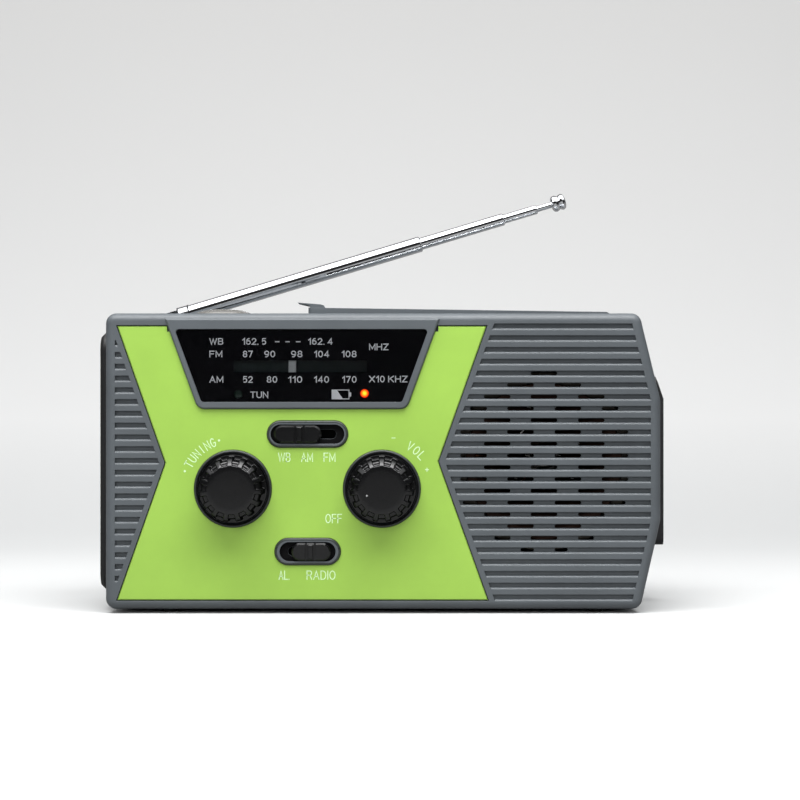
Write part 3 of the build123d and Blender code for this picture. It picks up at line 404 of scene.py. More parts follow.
# ------------------------------------------------------------------ shapes: (verts, faces) in mm
def skin(rings):
    """Faces between rings of points; a ring of one point closes to a fan."""
    verts, faces, index = [], [], []
    for ring in rings:
        index.append(range(len(verts), len(verts) + len(ring)))
        verts += ring
    for a, b in zip(index, index[1:]):
        n = max(len(a), len(b))
        for k in range(n):
            j = (k + 1) % n
            if len(a) == 1:
                faces.append((a[0], b[k], b[j]))
            elif len(b) == 1:
                faces.append((a[k], b[0], a[j]))
            else:
                faces.append((a[k], b[k], b[j], a[j]))
    return verts, faces


def lathe(profile, steps=96):
    """Surface of revolution about Y from (radius, y) stations."""
    rings = []
    for r, y in profile:
        if r < 1e-6:
            rings.append([(0.0, y, 0.0)])
        else:
            turns = [2 * math.pi * k / steps for k in range(steps)]
            rings.append([(r * math.cos(t), y, r * math.sin(t)) for t in turns])
    return skin(rings)


def moved(shape, dx, dz):
    verts, faces = shape
    return [(x + dx, y, z + dz) for x, y, z in verts], faces


def join(shapes):
    verts, faces = [], []
    for part_verts, part_faces in shapes:
        start = len(verts)
        verts += part_verts
        faces += [tuple(i + start for i in face) for face in part_faces]
    return verts, faces


def box(x0, x1, y0, y1, z0, z1):
    bm = bmesh.new()
    bmesh.ops.create_cube(bm, size=1.0)
    for v in bm.verts:
        v.co = Vector(((x0 + x1) / 2 + v.co.x * (x1 - x0),
                       (y0 + y1) / 2 + v.co.y * (y1 - y0),
                       (z0 + z1) / 2 + v.co.z * (z1 - z0)))
    bm.verts.index_update()
    verts = [tuple(v.co) for v in bm.verts]
    faces = [tuple(v.index for v in face.verts) for face in bm.faces]
    bm.free()
    return verts, faces


def bar(x, z, half_x, half_z, y, thick):
    """Upright flat bar centred on (x, z), standing forward of y."""
    return box(x - half_x, x + half_x, y - thick, y, z - half_z, z + half_z)


def prism(outline, y0, y1):
    """Closed prism from an (x, z) outline between two y planes."""
    n = len(outline)
    verts = [(x, y0, z) for x, z in outline] + [(x, y1, z) for x, z in outline]
    faces = [tuple(range(n)), tuple(reversed(range(n, 2 * n)))]
    for k in range(n):
        faces.append((k, (k + 1) % n, n + (k + 1) % n, n + k))
    return verts, faces


def wire(points, radius):
    """Round wire along a path, with closed ends."""
    sides = 12
    points = [Vector(p) for p in points]
    verts, faces, rings = [], [], []
    across = None
    for i, p in enumerate(points):
        ahead = (points[min(i + 1, len(points) - 1)] - points[max(i - 1, 0)]).normalized()
        if across is None:
            up = Vector((0, 0, 1))
            helper = up if abs(ahead.dot(up)) < 0.9 else Vector((1, 0, 0))
            across = ahead.cross(helper).normalized()
        else:
            across = (across - ahead * across.dot(ahead)).normalized()
        third = ahead.cross(across)
        rings.append(range(len(verts), len(verts) + sides))
        for k in range(sides):
            t = 2 * math.pi * k / sides
            offset = across * (radius * math.cos(t)) + third * (radius * math.sin(t))
            verts.append(tuple(p + offset))
    for a, b in zip(rings, rings[1:]):
        for k in range(sides):
            j = (k + 1) % sides
            faces.append((a[k], a[j], b[j], b[k]))
    faces.append(tuple(reversed(rings[0])))
    faces.append(tuple(rings[-1]))
    return verts, faces


def unit(start, end):
    dx, dz = end[0] - start[0], end[1] - start[1]
    length = math.hypot(dx, dz)
    return dx / length, dz / length


def ribbon(points, width, y0, y1):
    """Flat stroke along an (x, z) centre line, mitred at its corners, as a closed prism."""
    line = [points[0]]
    for p in points[1:]:
        if math.dist(p, line[-1]) > 1e-4:
            line.append(p)
    closed = len(line) > 3 and math.dist(line[0], line[-1]) < 1e-3
    if closed:
        line = line[:-1]
    n = len(line)
    verts, faces = [], []
    for k, (x, z) in enumerate(line):
        before = unit(line[k - 1], line[k]) if closed or k > 0 else None
        after = unit(line[k], line[(k + 1) % n]) if closed or k < n - 1 else None
        before, after = before or after, after or before
        mitre_x, mitre_z = -before[1] - after[1], before[0] + after[0]
        length = math.hypot(mitre_x, mitre_z)
        if length < 1e-6:       # the line doubles back on itself
            mitre_x, mitre_z, length = -before[1], before[0], 1.0
        mitre_x, mitre_z = mitre_x / length, mitre_z / length
        # sharp corners are held back by the lower limit on the cosine
        reach = (width / 2) / max(0.42, mitre_z * before[0] - mitre_x * before[1])
        for side in (1, -1):
            for y in (y0, y1):
                verts.append((x + side * mitre_x * reach, y, z + side * mitre_z * reach))
    for k in range(n if closed else n - 1):
        a, b = 4 * k, 4 * ((k + 1) % n)
        faces += [(a, b, b + 2, a + 2), (a + 1, a + 3, b + 3, b + 1),
                  (a, a + 1, b + 1, b), (a + 2, b + 2, b + 3, a + 3)]
    if not closed:
        end = 4 * n - 4
        faces += [(0, 2, 3, 1), (end, end + 1, end + 3, end + 2)]
    return verts, faces


def stadium(width, height, x, z):
    """Outline of a slot with round ends."""
    steps = 14
    r = height / 2
    points = []
    for side, start in ((1, -math.pi / 2), (-1, math.pi / 2)):
        for k in range(steps + 1):
            a = start + math.pi * k / steps
            points.append((x + side * (width / 2 - r) + r * math.cos(a), z + r * math.sin(a)))
    return points


def stadium_ring(sections, width, x, z):
    """Closed band through slot outlines; sections are (width trimmed off, height, y)."""
    loops = [[(px, y, pz) for px, pz in stadium(width - trim, height, x, z)]
             for trim, height, y in sections]
    n, m = len(loops[0]), len(loops)
    verts = [p for loop in loops for p in loop]
    faces = []
    for i in range(m):
        a, b = i * n, ((i + 1) % m) * n
        for k in range(n):
            j = (k + 1) % n
            faces.append((a + k, a + j, b + j, b + k))
    return verts, faces


def piece(name, shape, body, material, smooth=True, merge=True):
    """Make an object from a shape in mm, riding on a body of the frame."""
    verts, faces = shape
    mesh = bpy.data.meshes.new(name)
    mesh.from_pydata([((x - MID_X) * MM, y * MM, z * MM) for x, y, z in verts], [], faces)
    bm = bmesh.new()
    bm.from_mesh(mesh)
    if merge:
        bmesh.ops.remove_doubles(bm, verts=bm.verts, dist=1e-7)
    bmesh.ops.recalc_face_normals(bm, faces=bm.faces)
    bm.to_mesh(mesh)
    bm.free()
    for polygon in mesh.polygons:
        polygon.use_smooth = smooth
    if smooth:
        mesh.set_sharp_from_angle(angle=math.radians(42))
    made = bpy.data.objects.new(name, mesh)
    scene.collection.objects.link(made)
    mesh.materials.append(materials[material])
    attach(made, body)
    return made


# ------------------------------------------------------------------ stroke lettering
def arc(cx, cy, rx, ry, start, end, steps=7):
    """Points along part of an ellipse, angles in degrees."""
    turns = [math.radians(start + (end - start) * k / steps) for k in range(steps + 1)]
    return [(cx + rx * math.cos(a), cy + ry * math.sin(a)) for a in turns]


# letter: (relative width, centre lines in a unit cell)
GLYPHS = {
    "A": (1.0, [[(0, 0), (0.5, 1), (1, 0)], [(0.19, 0.35), (0.81, 0.35)]]),
    "B": (0.88, [[(0, 0), (0, 1), (0.62, 1)] + arc(0.62, 0.765, 0.32, 0.235, 90, -90)
                 + [(0, 0.53)],
                 [(0.62, 0.53)] + arc(0.62, 0.265, 0.38, 0.265, 90, -90) + [(0, 0)]]),
    "D": (0.92, [[(0, 0), (0, 1), (0.45, 1)] + arc(0.45, 0.5, 0.55, 0.5, 90, -90, 10)
                 + [(0, 0)]]),
    "F": (0.80, [[(1, 1), (0, 1), (0, 0)], [(0, 0.52), (0.85, 0.52)]]),
    "G": (1.0, [arc(0.5, 0.5, 0.5, 0.5, 48, 335, 14) + [(1, 0.45), (0.58, 0.45)]]),
    "H": (0.92, [[(0, 0), (0, 1)], [(1, 0), (1, 1)], [(0, 0.52), (1, 0.52)]]),
    "I": (0.0, [[(0, 0), (0, 1)]]),
    "K": (0.92, [[(0, 0), (0, 1)], [(1, 1), (0, 0.40)], [(0.33, 0.60), (1, 0)]]),
    "L": (0.74, [[(0, 1), (0, 0), (1, 0)]]),
    "M": (1.08, [[(0, 0), (0, 1), (0.5, 0.18), (1, 1), (1, 0)]]),
    "N": (0.92, [[(0, 0), (0, 1), (1, 0), (1, 1)]]),
    "O": (1.0, [arc(0.5, 0.5, 0.5, 0.5, 90, 450, 20)]),
    "R": (0.90, [[(0, 0), (0, 1), (0.62, 1)] + arc(0.62, 0.75, 0.36, 0.25, 90, -90)
                 + [(0, 0.50)],
                 [(0.58, 0.50), (1, 0)]]),
    "T": (0.88, [[(0, 1), (1, 1)], [(0.5, 1), (0.5, 0)]]),
    "U": (0.92, [[(0, 1), (0, 0.36)] + arc(0.5, 0.36, 0.5, 0.36, 180, 360, 10) + [(1, 1)]]),
    "V": (0.96, [[(0, 1), (0.5, 0), (1, 1)]]),
    "W": (1.36, [[(0, 1), (0.25, 0), (0.5, 0.95), (0.75, 0), (1, 1)]]),
    "X": (0.94, [[(0, 1), (1, 0)], [(0, 0), (1, 1)]]),
    "Z": (0.86, [[(0, 1), (1, 1), (0, 0), (1, 0)]]),
    "0": (0.72, [arc(0.5, 0.5, 0.5, 0.5, 90, 450, 18)]),
    "1": (0.34, [[(0, 0.74), (1, 1), (1, 0)]]),
    "2": (0.72, [arc(0.5, 0.71, 0.48, 0.29, 165, -25, 9) + [(0, 0), (1, 0)]]),
    "4": (0.76, [[(0.76, 0), (0.76, 1), (0, 0.27), (1, 0.27)]]),
    "5": (0.72, [[(0.92, 1), (0.16, 1), (0.06, 0.50)]
                 + arc(0.47, 0.33, 0.5, 0.33, 132, -122, 11)]),
    "6": (0.72, [arc(0.5, 0.31, 0.5, 0.31, 90, 450, 14), arc(0.62, 0.42, 0.60, 0.58, 78, 185)]),
    "7": (0.72, [[(0, 1), (1, 1), (0.32, 0)]]),
    "8": (0.72, [arc(0.5, 0.76, 0.43, 0.24, 90, 450, 14),
                 arc(0.5, 0.26, 0.5, 0.26, 90, 450, 14)]),
    "9": (0.72, [arc(0.5, 0.69, 0.5, 0.31, 90, 450, 14), arc(0.38, 0.58, 0.60, 0.58, -102, 5)]),
}
# set widths, in the same relative units
LETTER_SCALE = 0.78
LETTER_GAP = 0.30
SPACE_ADVANCE = 0.34
POINT_ADVANCE = 0.30


def run_out(line):
    """Lengthen an open line at both ends so the letter keeps its full height."""
    if math.dist(line[0], line[-1]) <= 1e-3:
        return
    for end, neighbour in ((0, 1), (-1, -2)):
        dx = line[end][0] - line[neighbour][0]
        dz = line[end][1] - line[neighbour][1]
        length = math.hypot(dx, dz) or 1.0
        line[end] = (line[end][0] + dx / length * STROKE * 0.45,
                     line[end][1] + dz / length * STROKE * 0.45)


def lettering(name, text, x, z, width, style, angle=0.0):
    """Printed capitals of an overall width, centred on (x, z), facing -Y."""
    line_height = style["height"] - STROKE
    cells, cursor = [], 0.0
    for letter in text:
        if letter == " ":
            cursor += SPACE_ADVANCE
        elif letter == ".":
            cells.append((letter, cursor, 0.0))
            cursor += POINT_ADVANCE
        else:
            letter_width = GLYPHS[letter][0] * LETTER_SCALE
            cells.append((letter, cursor, letter_width))
            cursor += letter_width + LETTER_GAP
    total = cursor - LETTER_GAP
    # the centre lines span the printed width less one stroke; a lone I has no width to fit
    scale = (width - STROKE) / total if total > 1e-6 else 1.0

    y = style["y"]
    strokes = []
    for letter, start, letter_width in cells:
        if letter == ".":
            half = STROKE * 1.05 / 2
            middle = start * scale
            lines = [[(middle - half, -line_height / 2), (middle + half, -line_height / 2)]]
        else:
            lines = [[((start + letter_width * u) * scale, (v - 0.5) * line_height)
                      for u, v in line] for line in GLYPHS[letter][1]]
            for line in lines:
                run_out(line)
        strokes += [ribbon(line, STROKE, y - style["thick"], y) for line in lines]
    verts, faces = join(strokes)

    middle = total * scale / 2
    cos, sin = math.cos(math.radians(angle)), math.sin(math.radians(angle))
    placed = [(x + (vx - middle) * cos - vz * sin, vy, z + (vx - middle) * sin + vz * cos)
              for vx, vy, vz in verts]
    piece(name, (placed, faces), "case", style["ink"], smooth=False, merge=False)


def arched_lettering(name, text, x, z, radius, start, end, letter_width, style):
    """Single letters spread along an arc about (x, z), feet towards the centre."""
    for i, letter in enumerate(text):
        a = math.radians(start + (end - start) * i / (len(text) - 1))
        lettering("%s_%02d" % (name, i), letter, x + radius * math.cos(a),
                  z + radius * math.sin(a), letter_width, style, angle=math.degrees(a) - 90)


# ------------------------------------------------------------------ knobs
RIBS = 15
# half of one rib: (fraction of the rib pitch from its middle, share of full height)
RIB_SECTION = [
    (0.0, 1.0), (0.10, 1.0), (0.155, 0.99), (0.18, 0.95), (0.196, 0.86), (0.208, 0.68),
    (0.220, 0.42), (0.234, 0.2), (0.252, 0.07), (0.28, 0.0), (0.345, 0.0), (0.42, 0.0),
    (0.5, 0.0),
]
# front to back: (valley y, valley radius, rib y, rib radius)
KNOB_STATIONS = [
    (-30.50, 0.0, -30.50, 0.0), (-30.50, 2.6, -30.50, 2.6), (-30.50, 5.2, -30.50, 5.2),
    (-30.49, 6.3, -30.49, 6.3), (-30.46, 6.58, -30.46, 6.60), (-30.37, 6.72, -30.39, 6.80),
    (-30.20, 6.79, -30.27, 6.98), (-29.88, 6.82, -30.09, 7.20), (-29.55, 6.85, -29.83, 7.48),
    (-29.37, 6.94, -29.55, 7.77), (-29.29, 7.13, -29.25, 8.08), (-29.23, 7.38, -28.94, 8.39),
    (-29.15, 7.64, -28.66, 8.64), (-29.01, 7.80, -28.44, 8.80), (-28.76, 8.00, -28.20, 8.90),
    (-28.48, 8.14, -27.84, 8.96), (-28.10, 8.20, -27.20, 8.98), (-26.60, 8.20, -26.20, 8.98),
    (-25.00, 8.20, -25.00, 8.98), (-23.40, 8.20, -23.40, 8.98), (-22.20, 8.20, -22.20, 8.99),
    (-21.84, 8.22, -21.84, 8.96), (-21.66, 8.60, -21.66, 9.04), (-21.58, 9.2, -21.58, 9.2),
    (-21.54, 9.5, -21.54, 9.5), (-21.44, 9.66, -21.44, 9.66), (-21.25, 9.7, -21.25, 9.7),
    (-20.85, 9.7, -20.85, 9.7), (-20.74, 9.6, -20.74, 9.6), (-20.7, 9.3, -20.7, 9.3),
    (-20.7, 0.0, -20.7, 0.0),
]
# (radius, y)
INDEX_DOT = [(0.0, -30.54), (0.24, -30.54), (0.26, -30.52), (0.26, -30.46), (0.0, -30.46)]


def knob_shape(phase):
    """Rotary knob: flat face, ribs standing off a tapered barrel, thin skirt at the foot."""
    whole_rib = [(-f, height) for f, height in reversed(RIB_SECTION[1:-1])] + RIB_SECTION
    spokes = [(2 * math.pi * (k + f) / RIBS + math.pi / 2 + phase, height)
              for k in range(RIBS) for f, height in whole_rib]
    rings = []
    for valley_y, valley_r, rib_y, rib_r in KNOB_STATIONS:
        if rib_r < 1e-6:
            rings.append([(0.0, rib_y, 0.0)])
            continue
        ring = []
        for a, height in spokes:
            r = valley_r + (rib_r - valley_r) * height
            y = valley_y + (rib_y - valley_y) * height
            ring.append((r * math.cos(a), y, r * math.sin(a)))
        rings.append(ring)
    return skin(rings)


def build_knobs():
    for body, x, phase in (("tuning", TUNING_X, math.radians(2.0)), ("volume", VOLUME_X, 0.0)):
        knob = piece(body + "_knob_ribbed", moved(knob_shape(phase), x, KNOB_Z), body,
                     "knob_black")
        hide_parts(body + "_knob")
    # pale dot left of and just below the middle of the volume knob's face
    dot = moved(lathe(INDEX_DOT, steps=20), VOLUME_X - 4.06, KNOB_Z - 1.57)
    piece("volume_index_dot", dot, "volume", "pointer_pale")


# ------------------------------------------------------------------ dial printing
DIAL_STYLE = {"height": 1.86, "y": DIAL_PRINT_Y, "thick": 0.03, "ink": "ink_dial_grey",
              "slot": "gloss_black"}
WB_Z, FM_Z, AM_Z = 76.296, 72.768, 65.628
# (text, middle x, z, width)
DIAL_TEXT = [
    ("WB", -46.76, WB_Z, 3.92), ("FM", -46.9, FM_Z, 3.64), ("AM", -46.76, AM_Z, 3.92),
    ("87", -37.94, FM_Z, 2.8), ("90", -31.78, FM_Z, 3.08), ("98", -24.206, FM_Z, 3.22),
    ("104", -17.22, FM_Z, 4.2), ("108", -9.52, FM_Z, 4.2),
    ("52", -37.94, AM_Z, 2.8), ("80", -31.15, AM_Z, 2.94), ("110", -24.64, AM_Z, 3.92),
    ("140", -17.248, AM_Z, 4.2), ("170", -9.45, AM_Z, 4.06),
    ("162. 5", -36.12, WB_Z, 6.72), ("162. 4", -17.57, WB_Z, 6.86),
    ("MHZ", -1.19, 74.756, 5.46), ("X10 KHZ", 1.47, 65.74, 10.78), ("TUN", -34.72, 61.316, 5.04),
]
DIAL_MARK_THICK = 0.05
DASH_XS = (-29.68, -26.796, -23.8)
DASH_Z = 76.212


def battery_symbol():
    """Battery outline with a slanted fill and a terminal on its right end."""
    left, right, bottom, top = -14.42, -9.436, 60.056, 62.772
    line = 0.22
    y0, y1 = DIAL_PRINT_Y - DIAL_MARK_THICK, DIAL_PRINT_Y
    fill = [(left + line, bottom + line), (left + 3.1, bottom + line),
            (left + 1.55, top - line), (left + line, top - line)]
    return join([
        box(left, right, y0, y1, top - line, top),
        box(left, right, y0, y1, bottom, bottom + line),
        box(left, left + line, y0, y1, bottom + line, top - line),
        box(right - line, right, y0, y1, bottom + line, top - line),
        box(right + 0.02, right + 0.5, y0, y1, bottom + 0.75, top - 0.75),
        prism(fill, y0, y1),
    ])


def build_dial_print():
    for i, (text, x, z, width) in enumerate(DIAL_TEXT):
        lettering("dial_print_%02d" % i, text, x, z, width, DIAL_STYLE)
    dashes = join(bar(x, DASH_Z, 0.62, 0.14, DIAL_PRINT_Y, DIAL_MARK_THICK) for x in DASH_XS)
    for name, shape in (("dashes", dashes), ("battery", battery_symbol())):
        piece("dial_print_" + name, shape, "case", "ink_dial_grey", smooth=False)


# (radius, y)
LAMP_DOME = [(0.0, -20.46), (0.35, -20.45), (0.75, -20.42), (1.02, -20.36), (1.18, -20.2),
             (1.2, -19.9), (1.2, -18.15), (0.0, -18.15)]


def build_dial_lamps():
    """Domes filling the mask's holes: lit on the right, dark on the left."""
    dome = lathe(LAMP_DOME, steps=40)
    lit = piece("charge_lamp_lit", moved(dome, LIT_LAMP_X, 61.7), "case", "led_lit_amber")
    piece("tuning_lamp_dark", moved(dome, -40.6, 61.5), "case", "led_unlit")
    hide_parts("indicator_leds")


# ------------------------------------------------------------------ faceplate printing
PANEL_STYLE = {"height": 2.6, "y": PANEL_PRINT_Y, "thick": 0.02, "ink": "ink_panel_pale",
               "slot": "faceplate_lime"}
# (text, middle x, z, width)
PANEL_TEXT = [
    ("WB", -27.65, 43.816, 3.5), ("AM", -21.28, 43.816, 3.36), ("FM", -14.98, 43.816, 3.36),
    ("OFF", -13.818, 26.652, 4.676), ("AL.", -27.72, 10.804, 3.08),
    ("RADIO", -17.36, 10.804, 8.12),
]
PANEL_POINTS = ((-55.524, 39.924), (-45.948, 48.52))    # (x, z)
MINUS_X, MINUS_Z = 2.94, 49.22
PLUS_X, PLUS_Z = 12.32, 40.344
SIGN_HALF = 0.55        # half the length of the plus and minus strokes
PLUS_LINE_HALF = 0.12
PANEL_MARK_THICK = 0.03


def plus_sign():
    y0, y1 = PANEL_PRINT_Y - PANEL_MARK_THICK, PANEL_PRINT_Y
    x0, x1 = PLUS_X - PLUS_LINE_HALF, PLUS_X + PLUS_LINE_HALF
    return join([
        bar(PLUS_X, PLUS_Z, SIGN_HALF, PLUS_LINE_HALF, PANEL_PRINT_Y, PANEL_MARK_THICK),
        box(x0, x1, y0, y1, PLUS_Z + PLUS_LINE_HALF, PLUS_Z + SIGN_HALF),
        box(x0, x1, y0, y1, PLUS_Z - SIGN_HALF, PLUS_Z - PLUS_LINE_HALF),
    ])


def build_panel_print():
    for i, (text, x, z, width) in enumerate(PANEL_TEXT):
        lettering("panel_print_%02d" % i, text, x, z, width, PANEL_STYLE)
    arched_lettering("panel_print_tuning", "TUNING", x=-42.056, z=34.94, radius=14.1,
                     start=150.8, end=113.2, letter_width=1.45, style=PANEL_STYLE)
    arched_lettering("panel_print_vol", "VOL", x=0.476, z=34.716, radius=14.15,
                     start=59.5, end=42.5, letter_width=1.5, style=PANEL_STYLE)
    front, back = PANEL_PRINT_Y - PANEL_MARK_THICK, PANEL_PRINT_Y
    point = lathe([(0.0, front), (0.32, front), (0.32, back), (0.0, back)], steps=20)
    marks = [("point_%d" % i, moved(point, x, z)) for i, (x, z) in enumerate(PANEL_POINTS)]
    minus = bar(MINUS_X, MINUS_Z, SIGN_HALF, 0.11, PANEL_PRINT_Y, PANEL_MARK_THICK)
    marks += [("minus", minus), ("plus", plus_sign())]
    for name, shape in marks:
        piece("panel_print_" + name, shape, "case", "ink_panel_pale",
              smooth=False)


# ------------------------------------------------------------------ speaker behind the grille
# (radius, y)
CONE_SURROUND = [(22.0, -18.30), (21.9, -18.62), (21.3, -18.70), (20.8, -18.66),
                 (20.3, -18.72), (19.6, -18.60), (19.0, -18.2), (18.6, -17.9)]
CONE_BACK = [(6.0, -11.2), (5.9, -10.9), (6.2, -10.85), (18.6, -17.55), (20.4, -18.3),
             (21.95, -18.26)]
DUST_CAP = [(0.0, -14.85), (1.5, -14.76), (3.0, -14.40), (4.4, -13.75), (5.4, -12.85),
            (5.95, -11.9), (5.95, -11.5), (0.0, -11.5)]
CONE_INNER_R = 6.0
CONE_OUTER_R = 18.6


def cone_share(r):
    """How far out a radius lies between the cone's inner and outer edge."""
    return (r - CONE_INNER_R) / (CONE_OUTER_R - CONE_INNER_R)


def cone_profile():
    """Rolled surround, finely corrugated cone, then the back face; closed on itself."""
    corrugations, pitch, ripple = 17, 0.75, 0.07
    profile = list(CONE_SURROUND)
    for k in range(1, corrugations + 1):
        r = CONE_OUTER_R - pitch * k
        profile.append((r, -11.0 - 6.9 * cone_share(r) + (ripple if k % 2 else -ripple)))
    profile += CONE_BACK
    return profile + [profile[0]]


def build_speaker_cone():
    cone = piece("speaker_cone_paper",
                 moved(lathe(cone_profile(), steps=128), SPEAKER_X, SPEAKER_Z),
                 "case", "cone_paper")
    piece("speaker_dust_cap", moved(lathe(DUST_CAP, steps=64), SPEAKER_X, SPEAKER_Z),
          "case", "dust_cap_silver")
    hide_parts("speaker_cone")


def build_tinsel_wires():
    """Two braided lead-out wires bowed forward of the cone."""
    steps = 17
    for i, angle in enumerate((175, 225)):
        a = math.radians(angle)
        points = []
        for j in range(steps + 1):
            t = j / steps
            r = 6.2 + 13.0 * t
            y = -11.6 - 7.0 * cone_share(r) - 0.45 * math.sin(math.pi * t)
            points.append((SPEAKER_X + r * math.cos(a), y, SPEAKER_Z + r * math.sin(a)))
        piece("speaker_tinsel_%d" % i, wire(points, 0.28), "case", "copper")


# (middle x, middle z, length)
GLINTS = [
    (41.104, 57.76, 1.3), (48.384, 57.816, 0.8), (28.532, 57.648, 0.7), (40.712, 44.152, 1.2),
    (49.364, 44.32, 1.3), (35.224, 44.684, 0.6), (55.048, 47.708, 0.6), (65.464, 51.236, 1.0),
    (37.38, 37.768, 0.8), (53.284, 37.768, 0.8),
]
# (x, y, z)
YELLOW_LEAD = [(24.36, -17.5, 48.66), (27.16, -17.4, 52.02), (29.68, -17.35, 54.4),
               (32.2, -17.35, 58.46), (34.72, -17.4, 61.12), (37.24, -17.5, 62.94)]


# a flat strip whose pale colour is a painted glint
def painted_glint_strip(name, points, y, width, material):
    piece(name, ribbon(points, width, y - 0.06, y), "case", material,
          smooth=False)


def build_speaker_details():
    """Painted highlight along the dust cap's edge, short painted glints, and the leads crossing
    before the cone; the bare lead's brightness is a painted highlight too.
    """
    crescent = [(42.448 + 5.32 * k / 10, 41.94 - 0.42 * math.sin(math.pi * k / 10))
                for k in range(11)]
    painted_glint_strip("speaker_cap_painted_glint", crescent, y=-17.3, width=0.55, material="painted_glint_bright")
    # the bare lead is a real wire; its brightness is a painted highlight
    painted_glint_strip("speaker_lead_bare", [(38.696, 50.396), (39.984, 51.852)], y=-17.3, width=0.42,
               material="painted_glint_bright")
    for i, (x, z, length) in enumerate(GLINTS):
        ends = [(x - length / 2, z + 0.12), (x + length / 2, z - 0.12)]
        painted_glint_strip("speaker_glint_%02d" % i, ends, y=-17.45, width=0.26, material="painted_glint_dim")
    piece("speaker_lead_yellow", wire(YELLOW_LEAD, 0.48), "case", "wire_olive")


# ------------------------------------------------------------------ solar panel
# two places on the sloping top of the lid: (x, z)
LID_LEFT = (-21.3, 86.1)
LID_RIGHT = (63.4, 84.9)
LID_SLOPE = (LID_RIGHT[1] - LID_LEFT[1]) / (LID_RIGHT[0] - LID_LEFT[0])
# depths below the lid's top
BASE_BOTTOM, BASE_TOP = 1.2, 0.55
CELL_TOP = 0.42
BUSBAR_TOP = 0.39
SHEET_BOTTOM, SHEET_TOP = 0.36, 0.25
CELLS_X, CELLS_Y = 8, 2
CELL_GAP_X, CELL_GAP_Y = 0.55, 0.7
CELL_MARGIN = 0.8


def slab(x0, x1, y0, y1, bottom, top):
    """Plate lying parallel to the lid's top, between two depths below it."""
    verts, faces = box(x0, x1, y0, y1, 0.0, 1.0)
    sloped = [(x, y, LID_LEFT[1] + LID_SLOPE * (x - LID_LEFT[0]) - (bottom if z < 0.5 else top))
              for x, y, z in verts]
    return sloped, faces


def build_solar_panel():
    low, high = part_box("solar_panel")
    x0, x1 = low.x / MM + MID_X, high.x / MM + MID_X
    y0, y1 = low.y / MM, high.y / MM
    base = piece("solar_panel_base", slab(x0, x1, y0, y1, BASE_BOTTOM, BASE_TOP), "lid",
                 "board_green", smooth=False)
    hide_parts("solar_panel")

    cell_x = (x1 - x0 - 2 * CELL_MARGIN - CELL_GAP_X * (CELLS_X - 1)) / CELLS_X
    cell_y = (y1 - y0 - 2 * CELL_MARGIN - CELL_GAP_Y * (CELLS_Y - 1)) / CELLS_Y
    cells, busbars = [], []
    for i in range(CELLS_X):
        for j in range(CELLS_Y):
            left = x0 + CELL_MARGIN + i * (cell_x + CELL_GAP_X)
            front = y0 + CELL_MARGIN + j * (cell_y + CELL_GAP_Y)
            back = front + cell_y
            cells.append(slab(left, left + cell_x, front, back, BASE_TOP, CELL_TOP))
            for share in (0.3, 0.7):
                middle = left + cell_x * share
                busbars.append(slab(middle - 0.18, middle + 0.18, front, back, CELL_TOP,
                                    BUSBAR_TOP))
    sheet = slab(x0, x1, y0, y1, SHEET_BOTTOM, SHEET_TOP)
    for name, shape, material in (("solar_cells", join(cells), "solar_cell_blue"),
                                  ("solar_busbars", join(busbars), "solder"),
                                  ("solar_cover_sheet", sheet, "clear_window")):
        piece(name, shape, "lid", material, smooth=False)


# ------------------------------------------------------------------ switch slots and knob wells
# (name, x, z, width of the painted-shade liner, rim width)
SWITCH_SLOTS = (("band", -21.14, 50.3, 20.7, 22.7), ("mode", -21.1, 17.4, 15.7, 18.5))
# (trimmed off the width, height, y)
SLOT_SHADE_LINER = [(0.02, 5.38, -21.55), (0.14, 5.26, -21.55), (0.14, 5.26, -20.68),
              (4.5, 2.7, -20.68), (4.5, 2.7, -20.61), (0.02, 5.38, -20.61)]
SLOT_RIM = [(1.30, 6.26, -21.86), (1.26, 6.30, -21.925), (0.60, 6.96, -21.925),
            (0.24, 7.32, -21.80), (-0.05, 7.61, -21.58), (-0.05, 7.61, -21.42),
            (0.20, 7.36, -21.42), (0.40, 7.16, -21.70)]
# (radius, y)
WELL_SHADE_LINER = [(9.88, -20.75), (9.88, -21.88), (9.94, -21.94), (10.36, -21.94),
              (10.36, -21.80), (9.97, -21.80), (9.97, -20.75), (9.88, -20.75)]
WELL_RIM = [(10.34, -21.80), (10.34, -21.935), (10.56, -21.935), (10.74, -21.82),
            (10.88, -21.62), (10.88, -21.40), (10.80, -21.40), (10.80, -21.55),
            (10.5, -21.80), (10.34, -21.80)]


def build_slot_trim():
    """Black liners of painted shade in the switch slots, then the rims round them, darkened with
    painted shade.
    """
    for name, x, z, width, _ in SWITCH_SLOTS:
        piece(name + "_slot_shade_liner", stadium_ring(SLOT_SHADE_LINER, width, x, z), "case",
              "black_switch_and_painted_shade", smooth=False)
    for name, x, z, _, width in SWITCH_SLOTS:
        piece(name + "_slot_rim", stadium_ring(SLOT_RIM, width, x, z), "case",
              "rim_painted_shade_grey")


def build_well_trim():
    """Black liner of painted shade in each knob's well, and the well's rim darkened with painted
    shade.
    """
    for name, x in (("tuning", TUNING_X), ("volume", VOLUME_X)):
        piece(name + "_well_shade_liner", moved(lathe(WELL_SHADE_LINER), x, KNOB_Z), "case",
              "black_switch_and_painted_shade")
        piece(name + "_well_rim", moved(lathe(WELL_RIM), x, KNOB_Z), "case",
              "rim_painted_shade_grey")


# ------------------------------------------------------------------ aerial and torch rings
AERIAL_PIVOT = (-69.1, 25.7, 83.0)
AERIAL_TILT = math.radians(16.65)       # rise above level, towards +X
